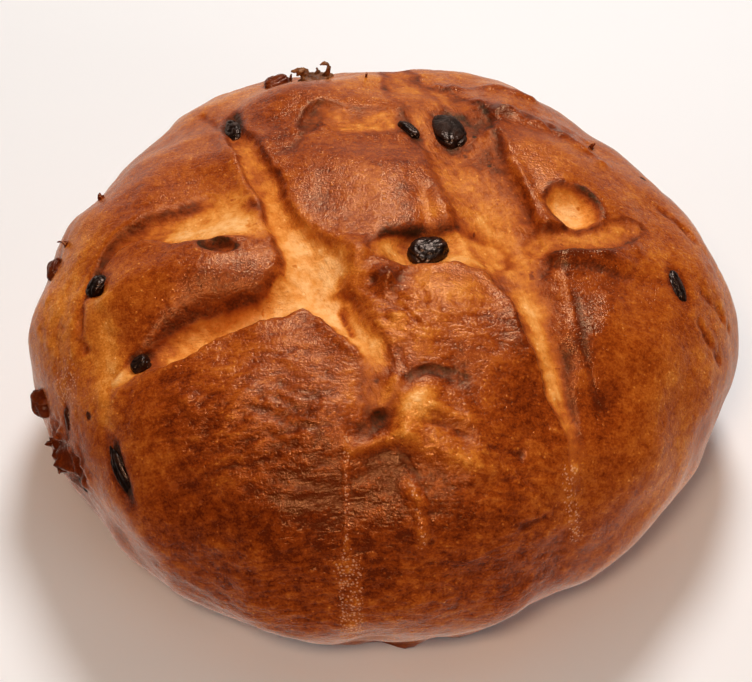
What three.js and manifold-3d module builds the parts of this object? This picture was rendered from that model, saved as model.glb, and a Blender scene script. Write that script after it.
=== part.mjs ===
// Julekake: a round, domed Christmas loaf of sweet dough, slashed across the top, with raisins.
// Millimetres, +Z up. The loaf stands on z = 0 and the origin is the middle of its flat base.
// A place on the crust is given as (u, v): the distance along the crust from the crown,
// laid out flat with u to the right and v to the back.
import * as THREE from 'three';
import { mergeVertices } from 'three/addons/utils/BufferGeometryUtils.js';
import Module from 'manifold-3d';

const wasm = await Module();
wasm.setup();

// The smooth loaf
const LOAF_RADIUS = 108; // at the belly, the widest ring
const LOAF_HEIGHT = 100;
const BELLY_HEIGHT = 39;
const BASE_RADIUS = 84; // of the flat that the loaf stands on
const DOME_POWER = 2.55; // 2 makes an ellipse, more makes squarer shoulders
const PLAN_WAVES = [ // lobes round the loaf, cosine and sine shares of the radius
  [2, 0.0228, 0.0046],
  [3, 0.0157, -0.0101],
  [4, 0.0149, 0.001],
  [5, -0.0009, -0.0086],
  [6, 0.0116, -0.0034],
  [7, -0.0014, 0.0041],
];
const FOOT_LIP = { // crust squeezed out in front, with a ragged edge
  angle: -1.52, spread: 0.3, reach: 5, height: 10, ragged: 0.4, length: 14, seed: 16,
};

// Gashes: stations [u, v, half width of the floor, depth, left bank, right bank]. The left bank is on
// the left of the way they run, and a bank's width says how far the crust takes to rise from the floor.
const GASHES = [
  [ // left long gash, back half
    [-50.5, 60.5, 1.5, 1.5, 4, 3], [-48.5, 47.5, 3, 3.4, 4, 2.2], [-44.2, 36.2, 3.8, 4.2, 4.5, 2.2],
    [-39.6, 24.5, 3.8, 5, 4.5, 2], [-35.4, 13.4, 3.4, 5.4, 4.5, 2], [-30.1, 1.3, 3.6, 5.8, 4.5, 2.5],
    [-24.3, -10, 5.4, 6.5, 4.5, 6], [-20, -19, 8, 7, 6, 7],
  ],
  [ // left long gash, front half
    [-24.3, -10, 5, 6.5, 5, 6], [-20, -19, 8, 7, 6, 7], [-18.3, -30, 5.8, 6.5, 5, 2], [-11.5, -38, 5, 6, 5, 2],
    [-6.5, -46.5, 3.6, 4.4, 6, 2], [-2, -52.5, 3.4, 2.6, 6, 2.5], [-1.5, -58, 4, 1.4, 5, 4],
    [-3, -64, 3, 0.6, 5, 5], [-4, -69, 2, 0.2, 5, 5],
  ],
  [ // right long gash, back half
    [5, 92, 4, 0.5, 10, 10], [9, 74.5, 7.5, 1.5, 8, 8], [18, 58, 12, 2, 7, 6], [23.5, 45.5, 13, 3, 7, 7],
    [28, 31.5, 11.5, 4, 6, 8], [31, 19.5, 11, 4.8, 5, 8], [33.5, 5, 11, 5.5, 4, 8],
    [37, -7, 11, 6, 4, 6], [41, -16, 9, 6, 6, 3],
  ],
  [ // right long gash, front half
    [38, -9, 10.5, 6.5, 5, 4], [42, -21, 7.8, 6, 9, 2], [46.2, -34, 5.6, 5.5, 10, 2], [50.6, -46, 4.7, 5, 9, 2],
    [55.2, -58, 3.8, 4, 7, 2], [59.6, -67.5, 3.2, 3, 5, 2], [62.8, -75, 2.4, 2, 4, 2.5],
    [64, -82.5, 1.5, 1, 4, 3], [66.5, -91, 1, 0.4, 4, 4],
  ],
  [ // upper cross gash on the left, outer end
    [-88, -14, 1, 2.5, 2.4, 3], [-83.5, -6, 1.4, 4, 2.4, 3], [-78, -1, 2, 5, 2.4, 3],
    [-71.5, 1, 3.6, 5.5, 2.6, 4], [-64, 1.5, 5.6, 5.5, 3, 6], [-58, 1, 6.5, 4.5, 8, 6],
  ],
  [ // upper cross gash on the left, inner end
    [-60, 0, 5.5, 5.5, 10, 6], [-54, 0, 7, 5.5, 14, 7], [-48, 0.5, 7, 5, 15, 7],
    [-42, -1, 6, 3.5, 13, 6], [-36, -3.5, 4.5, 2, 9, 5],
  ],
  [ // lower cross gash on the left, under a steep roll of crust
    [-82, -51, 1.5, 0.8, 2, 2], [-75.5, -48.5, 3, 2.5, 3, 2], [-69, -46, 4, 5, 6, 2],
    [-60.5, -43, 5, 8.5, 10, 2], [-53, -39, 4.8, 9.5, 11, 2], [-45.5, -36.5, 4.2, 9.5, 11, 2],
    [-37.5, -34, 3.8, 9, 9, 2], [-31.5, -31.5, 5, 7.5, 7, 2], [-25.5, -27.5, 7, 6, 5, 2],
  ],
  [ // cross gash between the two long ones
    [0.5, -14.5, 3, 2, 5, 3], [4, -13.5, 5.5, 5, 6, 2], [9.5, -13.5, 7.5, 6.5, 6, 2],
    [16.5, -12.5, 8, 6.5, 6, 2], [23, -11.5, 7, 5.5, 8, 2], [29.5, -13, 7.5, 4.5, 6, 3],
  ],
  [ // cross gash on the right
    [48, -5.5, 5, 4.5, 2, 2], [54.5, -4.8, 4.6, 4.2, 2, 2], [62, -2.6, 4.8, 3.5, 2.5, 2],
    [69, 0.5, 5, 3, 4, 2], [75, 5, 4, 2, 4, 3], [80, 7.5, 2, 0.6, 4, 4],
  ],
  [ // short cross gash at the back of the crown
    [-22.5, 44, 2.5, 2.5, 2, 4], [-19, 49.5, 5, 3, 2, 5], [-12.5, 48.5, 6.5, 2.5, 3, 6],
    [-5.5, 48.5, 5, 2, 6, 6], [2.5, 49.5, 5.5, 2, 8, 6],
  ],
  [ // soft valley round the bulge in front, where the dough burst out
    [-6, -81, 0.8, 0.6, 4, 4], [-2.8, -77, 1.2, 2.2, 4, 4], [0.5, -74.1, 2.2, 3.4, 4, 5],
    [2.9, -72.2, 1.4, 2.6, 3.5, 4.5], [4.9, -68.5, 0.8, 1.2, 3, 4], [6.9, -64.6, 0.8, 1.4, 2.5, 4],
    [10.6, -60.5, 0.8, 2.4, 2, 3.6], [14.3, -59, 0.9, 2.8, 2, 3.6], [18.3, -59.4, 0.8, 2.4, 2, 3.6],
    [25.6, -61.2, 0.8, 1.2, 2, 3.6], [29.5, -62.5, 0.8, 0.3, 2, 3.6],
  ],
  [ // slit below the burst
    [5.8, -82.5, 0.8, 0.8, 2, 2], [7.6, -85.1, 0.8, 2.2, 2, 2], [9.1, -87.9, 0.8, 2.6, 2, 2],
    [11, -91, 0.8, 2, 2, 2], [12, -94.5, 0.6, 0.4, 2, 2],
  ],
  [ // slit on the left flank, opened by a long raisin
    [-83.5, -69, 1, 0.8, 2, 2], [-85, -76, 2.2, 1.6, 2, 2], [-83.5, -82, 2, 1.8, 2, 2],
    [-82, -86, 1, 1.2, 2, 2], [-80.5, -90, 0.8, 0.5, 2, 2],
  ],
  [ // fold where the back plate of crust overlaps the crown
    [-31.5, 29, 0.8, 1, 2.2, 3], [-26, 33.5, 0.9, 1.8, 2.2, 3], [-24.5, 38, 0.9, 2.2, 2.2, 3],
    [-23, 44, 1, 2.2, 2.2, 3], [-21, 48.5, 1, 2.2, 2.2, 3], [-17.5, 51.5, 0.9, 1.8, 2.2, 3],
    [-12.5, 52, 0.8, 1, 2.2, 3],
  ],
  [ // fold along the right long gash
    [52.5, -15, 0.8, 1.2, 1.8, 2], [55, -18, 0.9, 1.4, 1.8, 2], [57.5, -25, 0.9, 1.4, 1.8, 2],
    [60.5, -35, 0.9, 1.4, 1.8, 2], [62.5, -44.5, 0.9, 1.3, 1.8, 2], [65, -52, 0.8, 1.1, 1.8, 2],
    [68, -59, 0.7, 0.8, 1.8, 2], [71, -63.5, 0.6, 0.4, 1.8, 2],
  ],
  [ // fold under the raised flap on the right
    [50.5, -14, 0.8, 1.5, 1.5, 3], [55.5, -15.5, 0.8, 2, 1.5, 3], [61, -14.5, 0.8, 2, 1.5, 3],
    [67.5, -15, 0.8, 2.5, 1.5, 3], [72.5, -15.5, 0.8, 2.5, 1.5, 3], [75, -12, 0.6, 1.5, 1.5, 3],
    [76, -6, 0.6, 0.5, 1.5, 3],
  ],
  [ // crease down the hidden back
    [-34, 108, 1, 0.6, 5, 5], [-30, 122, 1.6, 1.8, 5, 5], [-33, 137, 1.4, 1.6, 5, 5], [-29, 152, 1, 0.6, 5, 5],
  ],
];

// Swells of the crust between the gashes: [u, v, radius along, radius across, turn in degrees, height]
const SWELLS = [
  [-30, 62, 20, 14, 0, 2],
  [-6, 16, 22, 22, 0, 4.4],
  [20, -36, 22, 15, -25, 3],
  [-55, -20, 27, 10, 6, 5],
  [-38, -56, 26, 18, 15, 2.5],
  [-70, 26, 24, 16, 40, 2],
  [54, 33, 18, 14, 40, 2],
  [82, -32, 16, 22, 0, 1.5],
  [64, -11, 13, 4, 8, 2.2],
  [15, -74.5, 13, 10, -20, 1.6],
  [10.8, -69.8, 8, 4.6, 42, 3],
  [4.8, -63.4, 3, 3.4, 0, 1.6],
  [20, 7, 5, 11, 10, 1.6],
  [2, -26.5, 5, 4.2, -15, 4.4],
  [67, -38, 4, 20, -14, 0.7],
  [-7, -16, 5, 5, 0, 3.5],
  [46, 54, 12, 5, -12, 1.8],
  [58, 100, 24, 16, 0, 2],
  [84, 56, 18, 34, 25, 1.4],
  [98, 14, 20, 24, 0, 1.8],
  [-97, 22, 15, 14, 0, 3.4],
  [-131, -50, 14, 16, 0, 1.8],
  [-80, 95, 22, 18, 0, 2],
  [0, 140, 26, 16, 0, 1.5],
];

// Hollows: [u, v, radius along, radius across, turn in degrees, depth]
const HOLLOWS = [
  [57.8, 8.8, 9.5, 8.6, 0, 7],
  [-47.5, -10.6, 6.4, 3.6, -10, 5],
];

// Raisins: [u, v, length, width, thickness, turn in degrees, how deep the middle sits]
const RAISINS = [
  [-49.5, 53.2, 12.5, 6.2, 6.5, -78, 0.3],
  [23.4, 45.3, 17, 11.5, 6.5, -75, 0.4],
  [10.1, 45, 10.5, 4.2, 5, -55, 0.4],
  [15.6, -9.4, 13.5, 10.5, 8.5, 28, -0.6],
  [-85.6, -15.1, 7.5, 6.5, 6, 40, 0.3],
  [-74.2, -46.3, 6.8, 6.2, 6, 20, 0.2],
  [-85, -78.5, 19.5, 6, 6, -80, 1.2],
  [90, -11.8, 11.5, 5, 4.5, -68, 0.8],
  [-132, -34, 10, 8, 8, -70, -1],
  [-110.3, -52.9, 8.5, 3.6, 4, 60, 0.8],
  [-123.5, -74, 7, 5.5, 5, -40, 1],
  [-109.5, 7.6, 7.5, 6, 6, 80, -0.6],
  [-35, 83.5, 9, 7, 7, 10, -0.6],
  [48, 118, 11, 9, 7, 20, 1.2],
  [-62, 126, 12, 8.5, 7, -30, 1.4],
  [118, 52, 10, 8, 7, 60, 1.2],
  [96, 84, 12, 9, 7.5, -40, 1.4],
  [-10, 152, 10, 8, 7, 10, 1.2],
];
const RAISIN_DIMPLE = 1.2; // how far the crust dips round each raisin
const RAISIN_DENT = 0.09; // wrinkles, as a share of a raisin's radius
const LARGE_RAISIN = 10; // longer raisins get a finer mesh
const CUT_GAP = 0.3; // between a piece and the pocket it sits in

// Shred of candied peel standing out of the crust at the back
const PEEL = {
  u: -22, v: 87, length: 12, width: 9, thickness: 2.4, rise: 4, turn: 12, curl: 1.5, lengthSteps: 8, widthSteps: 6,
};

// Unevenness of the whole crust: [wavelength, height, seed]
const UNEVENNESS = [[62, 0.9, 1], [30, 0.55, 2], [15, 0.14, 3]];
const WAVE_COUNT = 12;
const FLAT_RIM = 14; // stretch above the base over which the unevenness fades out

// Mesh fineness
const FINE_STEP = 4.5; // on the dome
const COARSE_STEP = 8.5; // at the base rim
const FINE_UNTIL = 112; // distance from the crown
const BASE_RINGS = [[0.75, 32], [0.45, 12], [0.2, 3]]; // share of the base radius, points
const SECTION_STEPS = 400;
const SPLINE_STEPS = 4;
const GATHER = 0.45; // share by which the mesh is drawn in towards the edges of gashes
const GATHER_REACH = 5;

// Finishes
const CRUST = { color: 0x96521f, roughness: 0.5, metalness: 0 };
const RAISIN_SKIN = { color: 0x2e1a12, roughness: 0.35, metalness: 0 };
const PEEL_SKIN = { color: 0x8a4a1e, roughness: 0.5, metalness: 0 };

const GOLDEN_ANGLE = Math.PI * (3 - Math.sqrt(5));
const smoothstep = THREE.MathUtils.smoothstep;
const radians = THREE.MathUtils.degToRad;

// Half section of the smooth loaf: radius and height against the distance along the crust
function makeSection() {
  const radius = [];
  const height = [];
  for (let i = 0; i <= SECTION_STEPS; i++) {
    const a = (Math.PI / 2) * (i / SECTION_STEPS);
    radius.push(LOAF_RADIUS * Math.sin(a) ** (2 / DOME_POWER));
    height.push(BELLY_HEIGHT + (LOAF_HEIGHT - BELLY_HEIGHT) * Math.max(Math.cos(a), 0) ** (2 / DOME_POWER));
  }
  for (let i = 1; i <= SECTION_STEPS; i++) {
    const a = (Math.PI / 2) * (i / SECTION_STEPS);
    radius.push(BASE_RADIUS + (LOAF_RADIUS - BASE_RADIUS) * Math.cos(a));
    height.push(BELLY_HEIGHT * (1 - Math.sin(a)));
  }
  const along = [0];
  for (let i = 1; i < radius.length; i++) {
    along.push(along[i - 1] + Math.hypot(radius[i] - radius[i - 1], height[i] - height[i - 1]));
  }
  return { along, radius, height };
}

const SECTION = makeSection();
const CRUST_LENGTH = SECTION.along.at(-1); // from the crown to the base rim

function sectionAt(distance) {
  const { along, radius, height } = SECTION;
  let low = 0;
  let high = along.length - 1;
  while (high - low > 1) {
    const middle = (low + high) >> 1;
    if (along[middle] <= distance) low = middle;
    else high = middle;
  }
  const t = THREE.MathUtils.clamp((distance - along[low]) / (along[high] - along[low]), 0, 1);
  return {
    radius: THREE.MathUtils.lerp(radius[low], radius[high], t),
    height: THREE.MathUtils.lerp(height[low], height[high], t),
  };
}

function planFactor(angle) {
  return PLAN_WAVES.reduce((k, [n, a, b]) => k + a * Math.cos(n * angle) + b * Math.sin(n * angle), 1);
}

function smoothPoint(u, v) {
  const angle = Math.atan2(v, u);
  const { radius, height } = sectionAt(Math.hypot(u, v));
  const reach = radius * planFactor(angle);
  return new THREE.Vector3(reach * Math.cos(angle), reach * Math.sin(angle), height);
}

function smoothNormal(u, v) {
  const h = 0.5;
  const alongU = smoothPoint(u + h, v).sub(smoothPoint(u - h, v));
  const alongV = smoothPoint(u, v + h).sub(smoothPoint(u, v - h));
  return alongU.cross(alongV).normalize();
}

// Smooth curve through the stations of a gash
function splineThrough(stations) {
  const points = [];
  for (let i = 0; i < stations.length - 1; i++) {
    const before = stations[Math.max(i - 1, 0)];
    const here = stations[i];
    const next = stations[i + 1];
    const after = stations[Math.min(i + 2, stations.length - 1)];
    for (let k = 0; k < SPLINE_STEPS; k++) {
      const t = k / SPLINE_STEPS;
      points.push(here.map((value, j) => 0.5 * (
        2 * value + (next[j] - before[j]) * t
        + (2 * before[j] - 5 * value + 4 * next[j] - after[j]) * t ** 2
        + (3 * value - before[j] - 3 * next[j] + after[j]) * t ** 3)));
    }
  }
  points.push(stations.at(-1));
  return points;
}

const GASH_PATHS = GASHES.map(splineThrough);

// Nearest place on a gash: distance and offset from it, half width, depth and bank there
function nearestOnPath(points, u, v) {
  let best = { distance: Infinity };
  for (let i = 0; i < points.length - 1; i++) {
    const start = points[i];
    const end = points[i + 1];
    const du = end[0] - start[0];
    const dv = end[1] - start[1];
    const t = THREE.MathUtils.clamp(((u - start[0]) * du + (v - start[1]) * dv) / (du * du + dv * dv), 0, 1);
    const offU = u - start[0] - t * du;
    const offV = v - start[1] - t * dv;
    const distance = Math.hypot(offU, offV);
    if (distance < best.distance) {
      const [, , half, depth, left, right] = start.map((value, k) => THREE.MathUtils.lerp(value, end[k], t));
      const onLeft = du * offV - dv * offU > 0;
      best = { distance, offU, offV, half, depth, bank: onLeft ? left : right };
    }
  }
  return best;
}

// Floor of a gash and the bank that rises from it, steep at its foot and rounding over at the top
const FLOOR_DISH = 0.2;
const BANK_ROUNDING = 2.2;
function gashRelief({ distance, half, depth, bank }) {
  if (distance <= half) return -depth * (1 - FLOOR_DISH * (distance / half) ** 2);
  const rise = Math.min((distance - half) / bank, 1);
  return -depth * (1 - FLOOR_DISH) * (1 - rise) ** BANK_ROUNDING;
}

const JUNCTION_BLEND = 1.5; // how softly the floors of two gashes run together
function smoothMinimum(a, b) {
  const overlap = Math.max(JUNCTION_BLEND - Math.abs(a - b), 0) / JUNCTION_BLEND;
  return Math.min(a, b) - 0.25 * JUNCTION_BLEND * overlap ** 2;
}

function ellipseDistance(u, v, [cu, cv, along, across, turn]) {
  const c = Math.cos(radians(turn));
  const s = Math.sin(radians(turn));
  const x = (u - cu) * c + (v - cv) * s;
  const y = (v - cv) * c - (u - cu) * s;
  return Math.hypot(x / along, y / across);
}

// Sum of plane waves in directions spread evenly over a sphere
function waves(point, wavelength, seed) {
  let sum = 0;
  for (let i = 0; i < WAVE_COUNT; i++) {
    const rise = 1 - (2 * i + 1) / WAVE_COUNT;
    const spread = Math.sqrt(1 - rise * rise);
    const turn = GOLDEN_ANGLE * (i + 3 * seed);
    const along = spread * (point.x * Math.cos(turn) + point.y * Math.sin(turn)) + rise * point.z;
    const length = wavelength * (0.75 + 0.5 * ((0.618 * i + 0.377 * seed) % 1));
    sum += Math.sin((2 * Math.PI * along) / length + 2.4 * i + 1.7 * seed);
  }
  return sum / Math.sqrt(WAVE_COUNT / 2);
}

// Height of the real crust over the smooth loaf
function relief(u, v) {
  const point = smoothPoint(u, v);
  const aboveRim = CRUST_LENGTH - Math.hypot(u, v);
  let height = 0;
  for (const [wavelength, size, seed] of UNEVENNESS) height += size * waves(point, wavelength, seed);
  for (const swell of SWELLS) height += swell[5] * Math.exp(-(ellipseDistance(u, v, swell) ** 2));
  let cut = 0;
  for (const points of GASH_PATHS) cut = smoothMinimum(cut, gashRelief(nearestOnPath(points, u, v)));
  for (const hollow of HOLLOWS) {
    cut = smoothMinimum(cut, -hollow[5] * (1 - smoothstep(ellipseDistance(u, v, hollow), 0.45, 1.05)));
  }
  for (const [ru, rv, length, width, , turn] of RAISINS) {
    const reach = ellipseDistance(u, v, [ru, rv, 0.75 * length, 0.75 * width, turn]);
    height -= RAISIN_DIMPLE * Math.exp(-(reach ** 2));
  }
  return (height + cut) * smoothstep(aboveRim, 0, FLAT_RIM);
}

function footLip(point) {
  const angle = Math.atan2(point.y, point.x);
  const share = Math.exp(-(((angle - FOOT_LIP.angle) / FOOT_LIP.spread) ** 2));
  const ragged = 1 + FOOT_LIP.ragged * waves(point, FOOT_LIP.length, FOOT_LIP.seed);
  return FOOT_LIP.reach * share * ragged * (1 - smoothstep(point.z, 0, FOOT_LIP.height));
}

function crustPoint(u, v) {
  const point = smoothPoint(u, v).addScaledVector(smoothNormal(u, v), relief(u, v));
  const outward = new THREE.Vector3(point.x, point.y, 0).normalize();
  point.addScaledVector(outward, footLip(point));
  point.z = Math.max(point.z, 0);
  return point;
}

// Draws a mesh point in towards the nearest gash edges, so that the edges come out crisp
function gatherToEdges(u, v) {
  for (const points of GASH_PATHS) {
    const { distance, offU, offV, half } = nearestOnPath(points, u, v);
    const beyond = distance - half;
    if (distance < 1e-6 || Math.abs(beyond) > 3 * GATHER_REACH) continue;
    const pull = (-GATHER * beyond * Math.exp(-((beyond / GATHER_REACH) ** 2))) / distance;
    u += offU * pull;
    v += offV * pull;
  }
  return [u, v];
}

// Rings of mesh points from the crown down to the base rim, then inwards over the flat base
function makeRings() {
  const rings = [[crustPoint(0, 0)]];
  let distance = FINE_STEP;
  let odd = 0;
  while (distance < CRUST_LENGTH) {
    const share = smoothstep(distance, FINE_UNTIL, CRUST_LENGTH);
    const step = THREE.MathUtils.lerp(FINE_STEP, COARSE_STEP, share);
    const count = Math.max(6, Math.round((2 * Math.PI * sectionAt(distance).radius) / step));
    const last = CRUST_LENGTH - distance < 0.7 * step;
    const ring = [];
    for (let i = 0; i < count; i++) {
      const angle = (2 * Math.PI * (i + 0.5 * odd)) / count;
      const s = last ? CRUST_LENGTH : distance;
      const [u, v] = gatherToEdges(s * Math.cos(angle), s * Math.sin(angle));
      ring.push(crustPoint(u, v));
    }
    rings.push(ring);
    if (last) break;
    distance += 0.87 * step;
    odd = 1 - odd;
  }
  const rim = rings.at(-1);
  rim.forEach((point) => { point.z = 0; });
  for (const [share, count] of BASE_RINGS) {
    const ring = [];
    for (let i = 0; i < count; i++) {
      const angle = (2 * Math.PI * i) / count;
      ring.push(new THREE.Vector3(Math.cos(angle), Math.sin(angle), 0).multiplyScalar(BASE_RADIUS * share));
    }
    rings.push(ring);
  }
  return rings;
}

// Triangles between two neighbouring rings, which may have different numbers of points
function bandTriangles(upper, lower, upperStart, lowerStart) {
  const triangles = [];
  if (upper.length === 1) {
    lower.forEach((_, j) => triangles.push(upperStart, lowerStart + j, lowerStart + ((j + 1) % lower.length)));
    return triangles;
  }
  const at = (ring, i) => ring[i % ring.length];
  let i = 0;
  let j = 0;
  while (i < upper.length || j < lower.length) {
    const acrossUpper = at(upper, i + 1).distanceTo(at(lower, j));
    const acrossLower = at(upper, i).distanceTo(at(lower, j + 1));
    const stepUpper = j >= lower.length || (i < upper.length && acrossUpper < acrossLower);
    const a = upperStart + (i % upper.length);
    const b = lowerStart + (j % lower.length);
    if (stepUpper) {
      triangles.push(a, b, upperStart + ((i + 1) % upper.length));
      i += 1;
    } else {
      triangles.push(a, b, lowerStart + ((j + 1) % lower.length));
      j += 1;
    }
  }
  return triangles;
}

function makeLoafGeometry() {
  const rings = makeRings();
  const starts = [];
  const positions = [];
  for (const ring of rings) {
    starts.push(positions.length / 3);
    ring.forEach((point) => positions.push(point.x, point.y, point.z));
  }
  const index = [];
  for (let k = 0; k < rings.length - 1; k++) {
    index.push(...bandTriangles(rings[k], rings[k + 1], starts[k], starts[k + 1]));
  }
  const middle = starts.at(-1);
  index.push(middle, middle + 2, middle + 1);
  const geometry = new THREE.BufferGeometry();
  geometry.setAttribute('position', new THREE.Float32BufferAttribute(positions, 3));
  geometry.setIndex(index);
  return geometry;
}

// Frame on the crust at (u, v): x along the turn direction, y across it, z out of the loaf
function crustFrame(u, v, turn, depth) {
  const out = smoothNormal(u, v);
  const alongU = smoothPoint(u + 0.5, v).sub(smoothPoint(u - 0.5, v)).normalize();
  const alongV = out.clone().cross(alongU);
  const x = alongU.multiplyScalar(Math.cos(radians(turn))).addScaledVector(alongV, Math.sin(radians(turn)));
  const y = out.clone().cross(x);
  const origin = smoothPoint(u, v).addScaledVector(out, relief(u, v) - depth);
  return new THREE.Matrix4().makeBasis(x, y, out).setPosition(origin);
}

// A raisin: an ellipsoid with lengthwise wrinkles
function raisinGeometry([u, v, length, width, thickness, turn, depth], number, gap) {
  const detail = length > LARGE_RAISIN ? 2 : 1;
  const geometry = new THREE.IcosahedronGeometry(1, detail);
  const position = geometry.attributes.position;
  const p = new THREE.Vector3();
  for (let i = 0; i < position.count; i++) {
    p.fromBufferAttribute(position, i);
    const round = Math.atan2(p.z, p.y);
    const wrinkle = Math.sin(5 * round + 2.1 * p.x + number) + 0.6 * Math.sin(3 * round - 3 * p.x + 2 * number);
    const dent = 1 - RAISIN_DENT * (0.5 + 0.5 * wrinkle) * (1 - p.x * p.x);
    p.set(
      p.x * (length / 2 + gap),
      p.y * dent * (width / 2) + p.y * gap,
      p.z * dent * (thickness / 2) + p.z * gap);
    position.setXYZ(i, p.x, p.y, p.z);
  }
  return closed(geometry).applyMatrix4(crustFrame(u, v, turn, depth));
}

// A curled strip of peel with ragged ends, its inner edge held in the crust
function peelGeometry(gap) {
  const { u, v, length, width, thickness, rise, turn, curl, lengthSteps, widthSteps } = PEEL;
  const geometry = new THREE.BoxGeometry(1, 1, 1, lengthSteps, widthSteps, 1);
  const position = geometry.attributes.position;
  for (let i = 0; i < position.count; i++) {
    const x = position.getX(i);
    const y = position.getY(i);
    const z = position.getZ(i);
    const ragged = 1 + 0.22 * Math.sin(9 * x + 1.3) * (y + 0.5);
    const bend = curl * Math.sin(7 * x) * (y + 0.5) + curl * y * y;
    const thin = 1 - 0.5 * (y + 0.5);
    position.setXYZ(
      i,
      x * (length + 2 * gap) * (1 - 0.25 * (y + 0.5)),
      bend - z * (thickness * thin + 2 * gap),
      y * (width * ragged + 2 * gap) + rise - width / 2);
  }
  return closed(geometry).applyMatrix4(crustFrame(u, v, turn, 0));
}

// Keeps only positions, with shared vertices merged, so that the mesh is one closed body
function closed(geometry) {
  geometry.deleteAttribute('normal');
  geometry.deleteAttribute('uv');
  return mergeVertices(geometry, 1e-4);
}

function toSolid(geometry) {
  return new wasm.Manifold(new wasm.Mesh({
    numProp: 3,
    vertProperties: new Float32Array(geometry.attributes.position.array),
    triVerts: new Uint32Array(geometry.index.array),
  }));
}

function toGeometry(solid) {
  const mesh = solid.getMesh();
  const geometry = new THREE.BufferGeometry();
  geometry.setAttribute('position', new THREE.BufferAttribute(mesh.vertProperties, 3));
  geometry.setIndex(new THREE.BufferAttribute(mesh.triVerts, 1));
  return geometry;
}

function addPiece(group, name, geometry, finish) {
  geometry.computeVertexNormals();
  const mesh = new THREE.Mesh(geometry, new THREE.MeshStandardMaterial(finish));
  mesh.name = name;
  group.add(mesh);
}

const julekake = new THREE.Group();

// The loaf, with a pocket for every piece that sits in its crust
let loaf = toSolid(makeLoafGeometry());
RAISINS.forEach((raisin, i) => {
  loaf = loaf.subtract(toSolid(raisinGeometry(raisin, i, CUT_GAP)));
});
loaf = loaf.subtract(toSolid(peelGeometry(CUT_GAP)));
addPiece(julekake, 'loaf', toGeometry(loaf), CRUST);

RAISINS.forEach((raisin, i) => {
  const name = `raisin_${String(i + 1).padStart(2, '0')}`;
  addPiece(julekake, name, raisinGeometry(raisin, i, 0), RAISIN_SKIN);
});
addPiece(julekake, 'peel_shred', peelGeometry(0), PEEL_SKIN);

export default julekake;
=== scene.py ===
# Julekake: the looks of a round, slashed Christmas loaf with raisins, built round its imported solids.
# Sizes below are millimetres, as in the solids; MM turns them into Blender's metres.
# A place on the crust is (u, v): the distance along the crust from the crown, laid out flat,
# with u to the right and v to the back.
import math

import bmesh
import bpy
import numpy as np
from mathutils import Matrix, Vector


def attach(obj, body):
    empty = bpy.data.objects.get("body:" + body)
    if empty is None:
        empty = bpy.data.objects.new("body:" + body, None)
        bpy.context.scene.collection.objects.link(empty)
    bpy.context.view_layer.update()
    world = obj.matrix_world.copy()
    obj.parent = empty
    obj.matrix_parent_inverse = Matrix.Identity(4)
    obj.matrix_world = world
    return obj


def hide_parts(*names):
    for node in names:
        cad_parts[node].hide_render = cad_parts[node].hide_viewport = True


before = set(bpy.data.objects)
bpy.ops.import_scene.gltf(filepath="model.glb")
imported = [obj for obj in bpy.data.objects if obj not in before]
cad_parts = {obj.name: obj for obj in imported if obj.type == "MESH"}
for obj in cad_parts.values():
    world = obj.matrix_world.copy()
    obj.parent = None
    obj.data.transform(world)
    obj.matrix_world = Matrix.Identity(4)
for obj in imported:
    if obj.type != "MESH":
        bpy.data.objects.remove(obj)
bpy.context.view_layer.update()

MM = 0.001

# The smooth loaf, and the waves of its plan: number of lobes, cosine share, sine share
LOAF_RADIUS = 108
LOAF_HEIGHT = 100
BELLY_HEIGHT = 39
BASE_RADIUS = 84
DOME_POWER = 2.55
PLAN_WAVES = [
    (2, 0.0228, 0.0046),
    (3, 0.0157, -0.0101),
    (4, 0.0149, 0.001),
    (5, -0.0009, -0.0086),
    (6, 0.0116, -0.0034),
    (7, -0.0014, 0.0041),
]

# Lip where the crust was squeezed out over the base in front
FOOT_LIP_ANGLE = -1.52
FOOT_LIP_SPREAD = 0.3
FOOT_LIP_REACH = 5
FOOT_LIP_HEIGHT = 10
FOOT_LIP_RAGGED = 0.4
FOOT_LIP_LENGTH = 14
FOOT_LIP_SEED = 16
FOOT_LIP_BAKE = 0.3

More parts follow.
